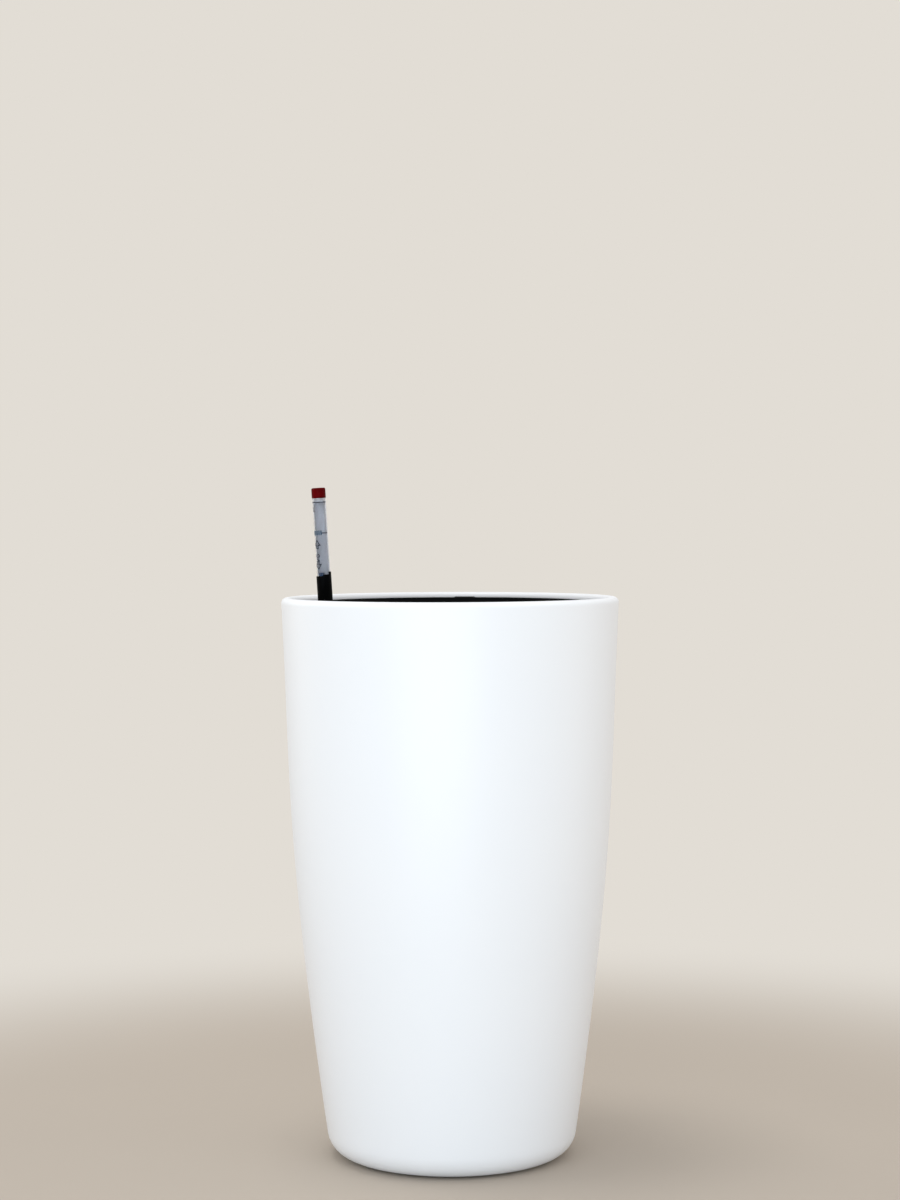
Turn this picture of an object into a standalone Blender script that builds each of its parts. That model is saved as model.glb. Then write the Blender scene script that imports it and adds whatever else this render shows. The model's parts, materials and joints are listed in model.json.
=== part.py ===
"""Tall self-watering planter: a tapered shell, a lift-out liner hung in its rim, a perforated separator over
the water reservoir, a filling shaft, and a leaning float gauge that shows the water level.

Metres, +Z up. The origin is the middle of the footprint, on the floor. The gauge leans towards -X, and the
liner's two lifting handles lie towards +Y and -Y.
"""

import math

import bmesh
import bpy
from mathutils import Matrix, Vector

# Shell.
HEIGHT = 0.513
RIM_RADIUS = 0.155
FOOT_RADIUS = 0.1113  # where the side's arc would meet the floor
FOOT_FILLET = 0.0235
BULGE = 0.0081  # how far the side stands outside a straight taper, at mid height
SWAY = 0.00095  # how far the side then swells below mid height and draws in under the rim
SHELL_WALL = 0.0035
LIP_RADIUS = 0.145
LEDGE_Z = HEIGHT - 0.0128  # the shelf inside the rim that the liner hangs on
LEDGE_RADIUS = 0.139
FOOT_Z = 0.001
RECESS_RADIUS = 0.074
RECESS_Z = 0.005

# Liner. Its wall, the filling shaft and the gauge all lean by the same angle.
LEAN = math.radians(3.43)
FLANGE_Z = HEIGHT - 0.0095  # floor of the channel that the handles lie in
FLANGE_RADIUS = 0.144
OUTER_BEAD_Z = HEIGHT - 0.0055
MOUTH_BEAD_Z = HEIGHT - 0.0044
MOUTH_RADIUS = 0.128
LINER_WALL = 0.0025
LINER_BASE_Z = 0.194
LINER_FLOOR_Z = 0.197
SHELF_Z = 0.275  # where the wall steps in, and the separator rests
SHELF_WIDTH = 0.003
GAP = 0.0003  # between a piece and what it rests on

# Lifting handles.
HANDLE_INNER = 0.1335
HANDLE_OUTER = 0.1390
HANDLE_HEIGHT = 0.0034
HINGE_Y = 0.09705
HINGE_Z = FLANGE_Z + 0.0021
PIN_RADIUS = 0.0010
BARREL_RADIUS = 0.0020
BARREL_ENDS = (0.0914, 0.1003)
ARM_ENDS = (0.0914, 0.0955)
EAR_SPANS = ((0.0882, 0.0910), (0.1007, 0.1040))
EAR_REACH = 0.0020
BAR_START = 0.0032  # from the hinge line to the ends of the handle's bar
TAB_HALF_WIDTH = 0.0105
TAB_SPAN = (0.1305, 0.1400)
TAB_RISE = 0.0018

# Separator and soil cones.
PLATE_THICKNESS = 0.003
CONE_ORBIT = 0.062
CONE_RADIUS = 0.0245
CONE_FLANGE = 0.0290
CONE_COUNT = 3
CONE_SLOTS = 6
RING_SLOTS = 24
RING_SLOT_ORBIT = 0.100
ROW_SLOTS = ((0.030, 0.0), (0.052, 0.0), (0.074, 0.15), (0.074, -0.15))  # orbit, and angle from the row
SLOT_HALF_LENGTH = 0.006
SLOT_HALF_WIDTH = 0.002

# Filling shaft: a long-hole section, straight for STRAIGHT each way between its round ends.
STRAIGHT = 0.011
SHAFT_RADIUS = 0.0097
SPIGOT_RADIUS = 0.0087
SHAFT_WALL = 0.0013
SHAFT_MOUTH_Z = HEIGHT - 0.014
SPIGOT_END_Z = 0.215
HOOK_THICKNESS = 0.0009
HOOK_HALF_WIDTH = 0.0035

# Gauge. Heights are where its leaning axis crosses them.
GAUGE_RIM_X = -0.1157
GAUGE_FOOT_Z = 0.198
GAUGE_TOP_Z = HEIGHT + 0.1004
CAP_LENGTH = 0.0095
CAP_RADIUS = 0.0065
STOPPER_LENGTH = 0.0038  # the pale stopper under the cap, which plugs the clear tube
STEM_RADIUS = 0.0030
STEM_LENGTH = 0.0037
SLEEVE_TOP_Z = HEIGHT + 0.0206
SLEEVE_RADIUS = 0.0069
SLEEVE_BORE = 0.0056
SOCKET_BORE = 0.0065
SOCKET_DEPTH = 0.014
NOTCH_DEPTH = 0.0013
CATCH_HEIGHT = 0.0024  # a raised lip on the sleeve's top edge, towards +X
TUBE_RADIUS = 0.0062
TUBE_BORE = 0.0057
CARD_OUTER = 0.0054
CARD_INNER = 0.0050
CARD_START = math.radians(-10)  # the card wraps the back of the tube, from here round to the same on -X
FOOT_FLANGE = 0.003
FLOAT_START = 0.013  # from the gauge's foot to the resting float
FLOAT_LENGTH = 0.060
FLOAT_RADIUS = 0.0050
ROD_RADIUS = 0.0012
ROD_OFFSET = -0.0020
POINTER_RADIUS = 0.0046
POINTER_LENGTH = 0.012
POINTER_TOP_Z = HEIGHT + 0.0217

# Drain plugs, one in the liner's floor and one in the shell's.
DRAIN_HOLE = 0.011
DRAIN_POCKET = 0.017
DRAIN_BOSS = 0.0205
DRAIN_DEPTH = 0.009  # from the pocket's ceiling to the top of the boss
SHELL_POCKET_Z = 0.008
LINER_POCKET_Z = 0.200
HEAD_RADIUS = 0.0150
HEAD_DROP = (0.0055, 0.0025)  # from the pocket's ceiling to the head's two faces
COIN_SLOT = (0.0105, 0.0012, 0.0016)  # half length, half width, depth
SEAL_RADIUS = 0.0126
SEAL_SECTION = 0.00095

PAD_COUNT = 6
PAD_RADIUS = 0.0065
PAD_ORBIT = 0.0815
PAD_INSET = 0.001

# Base colour with alpha, roughness and metallic value of each material.
PAINT = {
    "shell_plastic": ((0.90, 0.91, 0.93, 1.0), 0.42, 0.0),
    "liner_plastic": ((0.012, 0.012, 0.013, 1.0), 0.48, 0.0),
    "gauge_black": ((0.010, 0.010, 0.011, 1.0), 0.40, 0.0),
    "clear_plastic": ((0.80, 0.83, 0.88, 0.35), 0.08, 0.0),
    "card_print": ((0.62, 0.64, 0.69, 1.0), 0.50, 0.0),
    "cap_red": ((0.32, 0.008, 0.012, 1.0), 0.35, 0.0),
    "stopper_plastic": ((0.66, 0.66, 0.68, 1.0), 0.45, 0.0),
    "pointer_blue": ((0.010, 0.075, 0.210, 1.0), 0.35, 0.0),
    "float_foam": ((0.80, 0.80, 0.78, 1.0), 0.75, 0.0),
    "rubber": ((0.030, 0.030, 0.032, 1.0), 0.85, 0.0),
    "pin_steel": ((0.60, 0.60, 0.61, 1.0), 0.28, 1.0),
}


def clear_scene():
    for obj in list(bpy.data.objects):
        bpy.data.objects.remove(obj)


def paint(slot):
    """The slot's material, made the first time that it is asked for."""
    material = bpy.data.materials.get(slot)
    if material is None:
        colour, roughness, metallic = PAINT[slot]
        material = bpy.data.materials.new(slot)
        material.use_nodes = True
        inputs = material.node_tree.nodes["Principled BSDF"].inputs
        inputs["Base Color"].default_value = (*colour[:3], 1.0)
        inputs["Alpha"].default_value = colour[3]
        inputs["Roughness"].default_value = roughness
        inputs["Metallic"].default_value = metallic
    return material


def add_empty(name, location, rotation_y=0.0, rotation_z=0.0):
    empty = bpy.data.objects.new(name, None)
    bpy.context.scene.collection.objects.link(empty)
    empty.location = location
    empty.rotation_euler = (0.0, rotation_y, rotation_z)
    return empty


def finish_object(name, bm, slot=None, parent=None):
    """Links a bmesh as one object. Without a slot it is a tool for a Boolean, and isn't rendered."""
    bmesh.ops.remove_doubles(bm, verts=bm.verts, dist=1e-6)
    bmesh.ops.recalc_face_normals(bm, faces=bm.faces)
    mesh = bpy.data.meshes.new(name)
    bm.to_mesh(mesh)
    bm.free()
    mesh.shade_smooth()
    mesh.set_sharp_from_angle(angle=math.radians(35))
    obj = bpy.data.objects.new(name, mesh)
    bpy.context.scene.collection.objects.link(obj)
    obj.parent = parent
    if slot:
        mesh.materials.append(paint(slot))
    else:
        obj.hide_render = True
        obj.display_type = "WIRE"
    return obj


def combine(obj, tool, operation):
    """Joins obj to a tool, or cuts the tool out of it."""
    modifier = obj.modifiers.new(tool.name, "BOOLEAN")
    modifier.operation = operation
    modifier.object = tool
    modifier.solver = "EXACT"


def rounded(corners, steps=3):
    """An outline from corners (r, z) or (r, z, fillet), with each fillet as an arc."""
    outline = []
    for i, corner in enumerate(corners):
        here = Vector(corner[:2])
        if len(corner) == 2:
            outline.append(tuple(here))
            continue
        fillet = corner[2]
        before = (Vector(corners[i - 1][:2]) - here).normalized()
        after = (Vector(corners[(i + 1) % len(corners)][:2]) - here).normalized()
        half = before.angle(after) / 2
        centre = here + (before + after).normalized() * fillet / math.sin(half)
        start = here + before * fillet / math.tan(half) - centre
        end = here + after * fillet / math.tan(half) - centre
        clockwise = start.angle_signed(end)
        for step in range(steps + 1):
            spoke = Matrix.Rotation(-clockwise * step / steps, 2) @ start
            outline.append(tuple(centre + spoke))
    return outline


def turned(name, outline, slot=None, segments=32, straight=0.0, parent=None):
    """An outline of (r, z) points spun about Z. It is closed, or starts and ends on the axis.
    With straight, the two halves are moved apart along Y, which makes a long-hole section."""
    bm = bmesh.new()
    first = math.pi / segments
    verts = [bm.verts.new((r * math.cos(first), r * math.sin(first), z)) for r, z in outline]
    on_axis = outline[0][0] == 0.0
    following = verts[1:] if on_axis else verts[1:] + verts[:1]
    edges = [bm.edges.new(pair) for pair in zip(verts, following)]
    bmesh.ops.spin(bm, geom=verts + edges, cent=(0, 0, 0), axis=(0, 0, 1), angle=math.tau, steps=segments)
    if straight:
        for vertex in bm.verts:
            vertex.co.y += math.copysign(straight, vertex.co.y)
    return finish_object(name, bm, slot, parent)


def arc(radius, first, last, steps):
    """Points (x, y) on an arc round Z."""
    angles = (first + (last - first) * i / steps for i in range(steps + 1))
    return [(radius * math.cos(angle), radius * math.sin(angle)) for angle in angles]


def prism(outline, bottom, top):
    """A bmesh of an outline of (x, y) points, raised from bottom to top."""
    bm = bmesh.new()
    face = bm.faces.new([bm.verts.new((x, y, bottom)) for x, y in outline])
    raised = bmesh.ops.extrude_face_region(bm, geom=[face])["geom"]
    lifted = [item for item in raised if isinstance(item, bmesh.types.BMVert)]
    bmesh.ops.translate(bm, verts=lifted, vec=(0, 0, top - bottom))
    return bm


def add_box(bm, low, high, turn=0.0):
    """Adds a box between two corners to bm, turned about Z."""
    low, high = Vector(low), Vector(high)
    place = Matrix.Rotation(turn, 4, "Z") @ Matrix.Translation((low + high) / 2)
    bmesh.ops.create_cube(bm, size=1.0, matrix=place @ Matrix.Diagonal((*(high - low), 1.0)))


def add_rod(bm, start, end, radius, segments=16):
    """Adds a closed cylinder from start to end to bm."""
    start, end = Vector(start), Vector(end)
    facing = (end - start).to_track_quat("Z", "Y").to_matrix().to_4x4()
    bmesh.ops.create_cone(
        bm,
        cap_ends=True,
        segments=segments,
        radius1=radius,
        radius2=radius,
        depth=(end - start).length,
        matrix=Matrix.Translation((start + end) / 2) @ facing,
    )


def ring_places(count, orbit, offset=0.0):
    """Places spaced evenly round Z, on the floor."""
    angles = (math.tau * (i + offset) / count for i in range(count))
    return [Vector((orbit * math.cos(a), orbit * math.sin(a), 0.0)) for a in angles]


def barrel_radius(z, inset=0.0):
    """The shell's radius at height z, on an arc from foot to rim with a slight sway, less an inset."""
    foot, rim = Vector((FOOT_RADIUS, 0.0)), Vector((RIM_RADIUS, HEIGHT))
    chord = rim - foot
    radius = chord.length_squared / (8 * BULGE) + BULGE / 2
    outward = Vector((chord.y, -chord.x)).normalized()
    centre = (foot + rim) / 2 - outward * (radius - BULGE)
    sway = SWAY * math.sin(math.tau * (z / HEIGHT) ** 2)
    return centre.x + math.sqrt(radius**2 - (z - centre.y) ** 2) + sway - inset


def barrel_points(first, last, count, inset=0.0):
    heights = [first + (last - first) * i / (count - 1) for i in range(count)]
    return [(barrel_radius(z, inset), z) for z in heights]


def drain_underside(pocket_z, base_z):
    """The underside of a floor, from the drain hole out to the pocket's edge."""
    return [(DRAIN_HOLE, pocket_z), (DRAIN_POCKET, pocket_z), (DRAIN_POCKET, base_z)]


def drain_boss(pocket_z, floor_z):
    """The top of a floor, from the boss in to the drain hole."""
    top = pocket_z + DRAIN_DEPTH
    return [(DRAIN_BOSS, floor_z), (DRAIN_BOSS, top), (DRAIN_HOLE, top)]


def build_shell():
    """The outer pot, with its rim rolled in to a ledge, and a shallow recess underneath."""
    step_radius = RECESS_RADIUS + SHELL_WALL
    step_z = RECESS_Z + SHELL_WALL + 0.0005
    corners = drain_underside(SHELL_POCKET_Z, RECESS_Z) + [
        (RECESS_RADIUS, RECESS_Z),
        (RECESS_RADIUS, FOOT_Z),
        (barrel_radius(FOOT_Z), FOOT_Z, FOOT_FILLET),
        *barrel_points(FOOT_FILLET + 0.003, HEIGHT - 0.008, 10),
        (RIM_RADIUS, HEIGHT, 0.005),
        (LIP_RADIUS, HEIGHT, 0.003),
        (LIP_RADIUS, LEDGE_Z),
        (LEDGE_RADIUS, LEDGE_Z),
        (LEDGE_RADIUS, LEDGE_Z - SHELL_WALL),
        (LIP_RADIUS + SHELL_WALL, LEDGE_Z - SHELL_WALL),
        (LIP_RADIUS + SHELL_WALL, HEIGHT - SHELL_WALL),
        (RIM_RADIUS - SHELL_WALL, HEIGHT - SHELL_WALL),
        *barrel_points(HEIGHT - 0.02, FOOT_FILLET + 0.005, 7, SHELL_WALL),
        (barrel_radius(RECESS_Z, SHELL_WALL), RECESS_Z, FOOT_FILLET - SHELL_WALL),
        (step_radius, RECESS_Z),
        (step_radius, step_z),
        *drain_boss(SHELL_POCKET_Z, step_z),
    ]
    shell = turned("outer_shell", rounded(corners), "shell_plastic", segments=48)
    pockets = bmesh.new()
    for place in ring_places(PAD_COUNT, PAD_ORBIT, 0.5):
        top = place + Vector((0, 0, FOOT_Z + PAD_INSET))
        add_rod(pockets, place, top, PAD_RADIUS + GAP)
    combine(shell, finish_object("pad_pocket_cutter", pockets), "DIFFERENCE")


def build_pads():
    top = FOOT_Z + PAD_INSET - GAP
    outline = [(0.0, 0.0), (PAD_RADIUS - 0.0005, 0.0), (PAD_RADIUS, 0.0005), (PAD_RADIUS, top), (0.0, top)]
    for number, place in enumerate(ring_places(PAD_COUNT, PAD_ORBIT, 0.5), 1):
        pad = turned(f"foot_pad_{number}", outline, "rubber", segments=12)
        pad.location = place


def liner_radius(z):
    """The inner radius of the liner's leaning wall at height z, above the shelf."""
    return MOUTH_RADIUS - (FLANGE_Z - z) * math.tan(LEAN)


def build_liner():
    shoulder_z = SHELF_Z - LINER_WALL
    under_flange = LEDGE_Z + GAP
    step = LINER_WALL - SHELF_WIDTH
    corners = drain_underside(LINER_POCKET_Z, LINER_BASE_Z) + [
        (liner_radius(LINER_BASE_Z) + step, LINER_BASE_Z, 0.004),
        (liner_radius(shoulder_z) + step, shoulder_z),
        (liner_radius(shoulder_z) + LINER_WALL, shoulder_z),
        (liner_radius(under_flange) + LINER_WALL, under_flange),
        (FLANGE_RADIUS, under_flange),
        (FLANGE_RADIUS, OUTER_BEAD_Z),
        (FLANGE_RADIUS - 0.002, OUTER_BEAD_Z),
        (FLANGE_RADIUS - 0.002, FLANGE_Z),
        (MOUTH_RADIUS + 0.0018, FLANGE_Z),
        (MOUTH_RADIUS + 0.0018, MOUTH_BEAD_Z),
        (MOUTH_RADIUS, MOUTH_BEAD_Z),
        (liner_radius(SHELF_Z), SHELF_Z),
        (liner_radius(SHELF_Z) - SHELF_WIDTH, SHELF_Z),
        (liner_radius(LINER_FLOOR_Z) - SHELF_WIDTH, LINER_FLOOR_Z, 0.003),
        *drain_boss(LINER_POCKET_Z, LINER_FLOOR_Z),
    ]
    liner = turned("liner", rounded(corners, 2), "liner_plastic", segments=48)
    ears, holes = bmesh.new(), bmesh.new()
    for side_x in (1, -1):
        for side_y in (1, -1):
            for span in EAR_SPANS:
                near, far = sorted(side_x * x for x in span)
                middle = side_y * HINGE_Y
                low = (near, middle - EAR_REACH, FLANGE_Z - 0.001)
                high = (far, middle + EAR_REACH, OUTER_BEAD_Z + 0.0005)
                add_box(ears, low, high)
            start = (side_x * (EAR_SPANS[0][0] - 0.001), side_y * HINGE_Y, HINGE_Z)
            end = (side_x * (EAR_SPANS[1][1] - 0.001), side_y * HINGE_Y, HINGE_Z)
            add_rod(holes, start, end, PIN_RADIUS + GAP, segments=12)
    combine(liner, finish_object("hinge_ears", ears), "UNION")
    combine(liner, finish_object("hinge_hole_cutter", holes), "DIFFERENCE")


def build_handle(name, turn):
    """A bail that lies in the flange's channel, built on its hinge line for +Y and turned about Z."""
    place = Matrix.Rotation(turn, 4, "Z") @ Vector((0, HINGE_Y, HINGE_Z))
    hinge = add_empty(f"{name}_hinge", place, rotation_z=turn)
    bottom = FLANGE_Z + GAP - HINGE_Z
    top = bottom + HANDLE_HEIGHT
    edge = []
    for radius, order in ((HANDLE_OUTER, 1), (HANDLE_INNER, -1)):
        first = math.asin((HINGE_Y + BAR_START) / radius)
        edge += arc(radius, first, math.pi - first, 18)[::order]
    bar = prism([(x, y - HINGE_Y) for x, y in edge], bottom, top)
    handle = finish_object(name, bar, "liner_plastic", hinge)
    near, far = BARREL_ENDS
    arms, barrels, bores, tab = bmesh.new(), bmesh.new(), bmesh.new(), bmesh.new()
    for side in (1, -1):
        left, right = sorted(side * x for x in ARM_ENDS)
        add_box(arms, (left, 0, bottom), (right, BAR_START + 0.0020, top))
        add_rod(barrels, (side * near, 0, 0), (side * far, 0, 0), BARREL_RADIUS)
        bore_start, bore_end = (side * (near - 0.002), 0, 0), (side * (far + 0.002), 0, 0)
        add_rod(bores, bore_start, bore_end, PIN_RADIUS + GAP, segments=12)
    tab_near, tab_far = (y - HINGE_Y for y in TAB_SPAN)
    add_box(tab, (-TAB_HALF_WIDTH, tab_near, top - 0.001), (TAB_HALF_WIDTH, tab_far, top + TAB_RISE))
    combine(handle, finish_object(f"{name}_arms", arms, parent=hinge), "UNION")
    combine(handle, finish_object(f"{name}_barrels", barrels, parent=hinge), "UNION")
    combine(handle, finish_object(f"{name}_tab", tab, parent=hinge), "UNION")
    combine(handle, finish_object(f"{name}_bores", bores, parent=hinge), "DIFFERENCE")
    for side, word in ((1, "right"), (-1, "left")):
        pin = bmesh.new()
        inner_end, outer_end = EAR_SPANS[0][0] + GAP, EAR_SPANS[1][1] - 0.001 - GAP
        add_rod(pin, (side * inner_end, 0, 0), (side * outer_end, 0, 0), PIN_RADIUS, segments=12)
        finish_object(f"{name}_pin_{word}", pin, "pin_steel", hinge)


def gauge_x(z):
    """Where the leaning axis of the shaft and gauge passes at height z."""
    return GAUGE_RIM_X + (HEIGHT - z) * math.tan(LEAN)


def along(z):
    """How far along the leaning axis from the gauge's foot the height z is."""
    return (z - GAUGE_FOOT_Z) / math.cos(LEAN)


def drain_slots():
    """(orbit, angle) of each slot in the separator: a ring near its edge, then rows between the cones."""
    clear_of_shaft = math.radians(20)
    ring = [(RING_SLOT_ORBIT, math.tau * (i + 0.5) / RING_SLOTS) for i in range(RING_SLOTS)]
    ring = [slot for slot in ring if abs(slot[1] - math.pi) > clear_of_shaft]
    rows = [
        (orbit, math.tau * (cone + 0.5) / CONE_COUNT + spread)
        for cone in range(CONE_COUNT)
        for orbit, spread in ROW_SLOTS
    ]
    return ring + rows


def build_separator():
    """The plate that carries the soil, with holes for the cones, the shaft's spigot and the water."""
    bottom = SHELF_Z + GAP
    top = bottom + PLATE_THICKNESS
    radius = liner_radius(SHELF_Z) - 2 * GAP
    outline = [(0.0, bottom), (radius, bottom), (radius, top), (0.0, top)]
    plate = turned("separator_plate", outline, "liner_plastic", segments=48)
    below, above = bottom - 0.002, top + 0.002
    holes = bmesh.new()
    for place in ring_places(CONE_COUNT, CONE_ORBIT):
        place.z = below
        add_rod(holes, place, place + Vector((0, 0, above - below)), CONE_RADIUS + 0.0006, 24)
    for orbit, angle in drain_slots():
        low = (orbit - SLOT_HALF_LENGTH, -SLOT_HALF_WIDTH, below)
        high = (orbit + SLOT_HALF_LENGTH, SLOT_HALF_WIDTH, above)
        add_box(holes, low, high, angle)
    combine(plate, finish_object("separator_hole_cutter", holes), "DIFFERENCE")
    socket = SPIGOT_RADIUS + 0.0004
    outline = [(0.0, below), (socket, below), (socket, above), (0.0, above)]
    cutter = turned("spigot_hole_cutter", outline, segments=20, straight=STRAIGHT)
    cutter.location.x = gauge_x((bottom + top) / 2)
    combine(plate, cutter, "DIFFERENCE")


def build_soil_cones():
    """Slotted feet that hold a column of soil down in the water."""
    seat = SHELF_Z + PLATE_THICKNESS + 2 * GAP
    foot = LINER_FLOOR_Z + 0.002
    outline = [
        (0.0, foot),
        (0.0150, foot),
        (CONE_RADIUS, seat - 0.004),
        (CONE_RADIUS, seat),
        (CONE_FLANGE, seat),
        (CONE_FLANGE, seat + 0.002),
        (CONE_RADIUS - 0.002, seat + 0.002),
        (0.0130, foot + 0.002),
        (0.0, foot + 0.002),
    ]
    for number, place in enumerate(ring_places(CONE_COUNT, CONE_ORBIT), 1):
        cone = turned(f"soil_cone_{number}", outline, "liner_plastic", segments=24)
        cone.location = place
        slots = bmesh.new()
        for side in range(CONE_SLOTS):
            low = (0.010, -0.0015, foot + 0.008)
            high = (0.030, 0.0015, seat - 0.016)
            add_box(slots, low, high, math.tau * side / CONE_SLOTS)
        cutter = finish_object(f"soil_cone_{number}_slots", slots)
        cutter.location = place
        combine(cone, cutter, "DIFFERENCE")


def build_filling_shaft(axis):
    """The tube that water is poured down. It stands on the separator and holds the gauge."""
    tilt_drop = SHAFT_RADIUS * math.sin(LEAN)
    shoulder = along(SHELF_Z + PLATE_THICKNESS + 2 * GAP + tilt_drop)
    mouth, end = along(SHAFT_MOUTH_Z), along(SPIGOT_END_Z)
    outline = [
        (SPIGOT_RADIUS, end),
        (SPIGOT_RADIUS, shoulder),
        (SHAFT_RADIUS, shoulder),
        (SHAFT_RADIUS, mouth),
        (SHAFT_RADIUS - SHAFT_WALL, mouth),
        (SHAFT_RADIUS - SHAFT_WALL, shoulder + 0.003),
        (SPIGOT_RADIUS - SHAFT_WALL, shoulder + 0.002),
        (SPIGOT_RADIUS - SHAFT_WALL, end),
    ]
    turned("filling_shaft", outline, "liner_plastic", segments=20, straight=STRAIGHT, parent=axis)


def build_gauge_guide(axis):
    """The ring in the shaft's mouth that the gauge slides through, hooked over both flat walls."""
    mouth = along(SHAFT_MOUTH_Z)
    bore = SLEEVE_RADIUS + GAP
    outside = SHAFT_RADIUS - SHAFT_WALL - GAP
    top = mouth + 0.002
    outline = [(bore, mouth - 0.008), (outside, mouth - 0.008), (outside, top), (bore, top)]
    guide = turned("gauge_guide", outline, "gauge_black", segments=24, parent=axis)
    bridge, lip = bmesh.new(), bmesh.new()
    hook_in = SHAFT_RADIUS + GAP
    hook_out = hook_in + HOOK_THICKNESS
    for side in (1, -1):
        near, far = sorted((side * (outside - 0.0003), side * hook_out))
        add_box(bridge, (near, -HOOK_HALF_WIDTH, mouth + GAP), (far, HOOK_HALF_WIDTH, top - 0.0004))
        near, far = sorted((side * hook_in, side * hook_out))
        add_box(lip, (near, -HOOK_HALF_WIDTH, mouth - 0.004), (far, HOOK_HALF_WIDTH, mouth + 0.001))
    combine(guide, finish_object("guide_bridges", bridge, parent=axis), "UNION")
    combine(guide, finish_object("guide_lips", lip, parent=axis), "UNION")


def build_gauge_tubes(axis):
    """The black sleeve, the clear tube in its socket, and the printed card inside the tube."""
    top = along(SLEEVE_TOP_Z)
    socket = top - SOCKET_DEPTH
    tube_top = along(GAUGE_TOP_Z) - CAP_LENGTH - GAP
    outline = [
        (SLEEVE_BORE, FOOT_FLANGE + GAP),
        (SLEEVE_RADIUS, FOOT_FLANGE + GAP),
        (SLEEVE_RADIUS, top),
        (SOCKET_BORE, top),
        (SOCKET_BORE, socket),
        (SLEEVE_BORE, socket),
    ]
    sleeve = turned("gauge_sleeve", outline, "gauge_black", segments=24, parent=axis)
    cuts = bmesh.new()
    add_box(cuts, (-0.010, -0.0015, 0.016), (0.010, 0.0015, 0.036))
    add_box(cuts, (-0.010, -0.010, top - NOTCH_DEPTH), (0.0003, 0.010, top + 0.002))
    combine(sleeve, finish_object("sleeve_cutter", cuts, parent=axis), "DIFFERENCE")
    side, inset = math.radians(37.5), 0.00005
    outline = arc(SLEEVE_RADIUS - inset, -side, side, 5) + arc(SOCKET_BORE + inset, side, -side, 5)
    catch = prism(outline, top - 0.001, top + CATCH_HEIGHT)
    combine(sleeve, finish_object("sleeve_catch", catch, parent=axis), "UNION")
    outline = [
        (TUBE_BORE, socket + GAP),
        (TUBE_RADIUS, socket + GAP),
        (TUBE_RADIUS, tube_top),
        (TUBE_BORE, tube_top),
    ]
    turned("gauge_tube", outline, "clear_plastic", segments=24, parent=axis)
    outside = arc(CARD_OUTER, CARD_START, math.pi - CARD_START, 14)
    inside = arc(CARD_INNER, math.pi - CARD_START, CARD_START, 14)
    card = prism(outside + inside, socket + 2 * GAP, tube_top - STOPPER_LENGTH)
    finish_object("scale_card", card, "card_print", axis)


def build_gauge_ends(axis):
    """The plug in the gauge's foot, and the cap with the stopper that it carries."""
    plug = SLEEVE_BORE - GAP
    outline = [
        (0.0, 0.0),
        (SLEEVE_RADIUS, 0.0),
        (SLEEVE_RADIUS, FOOT_FLANGE),
        (plug, FOOT_FLANGE),
        (plug, FOOT_FLANGE + 0.008),
        (0.0, FOOT_FLANGE + 0.008),
    ]
    turned("gauge_foot", outline, "gauge_black", segments=24, parent=axis)
    top = along(GAUGE_TOP_Z)
    bottom = top - CAP_LENGTH
    socket_top = bottom + STEM_LENGTH + GAP
    corners = [
        (0.0, socket_top),
        (STEM_RADIUS + GAP, socket_top),
        (STEM_RADIUS + GAP, bottom),
        (CAP_RADIUS, bottom),
        (CAP_RADIUS, top, 0.0015),
        (0.0, top),
    ]
    turned("gauge_cap", rounded(corners), "cap_red", segments=24, parent=axis)
    outline = [
        (0.0, bottom - STOPPER_LENGTH),
        (TUBE_BORE - GAP, bottom - STOPPER_LENGTH),
        (TUBE_BORE - GAP, bottom - GAP),
        (STEM_RADIUS, bottom - GAP),
        (STEM_RADIUS, bottom + STEM_LENGTH),
        (0.0, bottom + STEM_LENGTH),
    ]
    turned("cap_stopper", outline, "stopper_plastic", segments=24, parent=axis)


def build_float(axis):
    """The float low in the sleeve, and the rod that carries the half-round pointer up into the clear tube."""
    top = FLOAT_START + FLOAT_LENGTH
    corners = [
        (0.0, FLOAT_START),
        (FLOAT_RADIUS, FLOAT_START, 0.001),
        (FLOAT_RADIUS, top, 0.001),
        (0.0, top),
    ]
    turned("float", rounded(corners, 2), "float_foam", segments=20, parent=axis)
    pointer_top = along(POINTER_TOP_Z)
    pointer_bottom = pointer_top - POINTER_LENGTH
    rod = bmesh.new()
    add_rod(rod, (ROD_OFFSET, 0, top + GAP), (ROD_OFFSET, 0, pointer_bottom - GAP), ROD_RADIUS, 12)
    finish_object("float_rod", rod, "float_foam", axis)
    pointer = prism(arc(POINTER_RADIUS, math.pi / 2, 3 * math.pi / 2, 12), pointer_bottom, pointer_top)
    finish_object("level_pointer", pointer, "pointer_blue", axis)


def build_drain_plug(name, pocket_z):
    """A screw plug with a coin slot, and the O-ring under its head."""
    head_low, head_high = (pocket_z - drop for drop in HEAD_DROP)
    shank, top = DRAIN_HOLE - 0.0005, pocket_z + 0.008
    outline = [
        (0.0, head_low),
        (HEAD_RADIUS - 0.0008, head_low),
        (HEAD_RADIUS, head_low + 0.0008),
        (HEAD_RADIUS, head_high),
        (shank, head_high),
        (shank, top - 0.001),
        (shank - 0.001, top),
        (0.0, top),
    ]
    plug = turned(name, outline, "liner_plastic", segments=24)
    slot = bmesh.new()
    half_length, half_width, depth = COIN_SLOT
    add_box(slot, (-half_length, -half_width, head_low - 0.001), (half_length, half_width, head_low + depth))
    combine(plug, finish_object(f"{name}_slot", slot), "DIFFERENCE")
    middle = (pocket_z + head_high) / 2
    section = [(SEAL_RADIUS + x, middle + y) for x, y in arc(SEAL_SECTION, 0.0, math.tau, 6)[:-1]]
    turned(f"{name}_seal", section, "rubber", segments=20)


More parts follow.
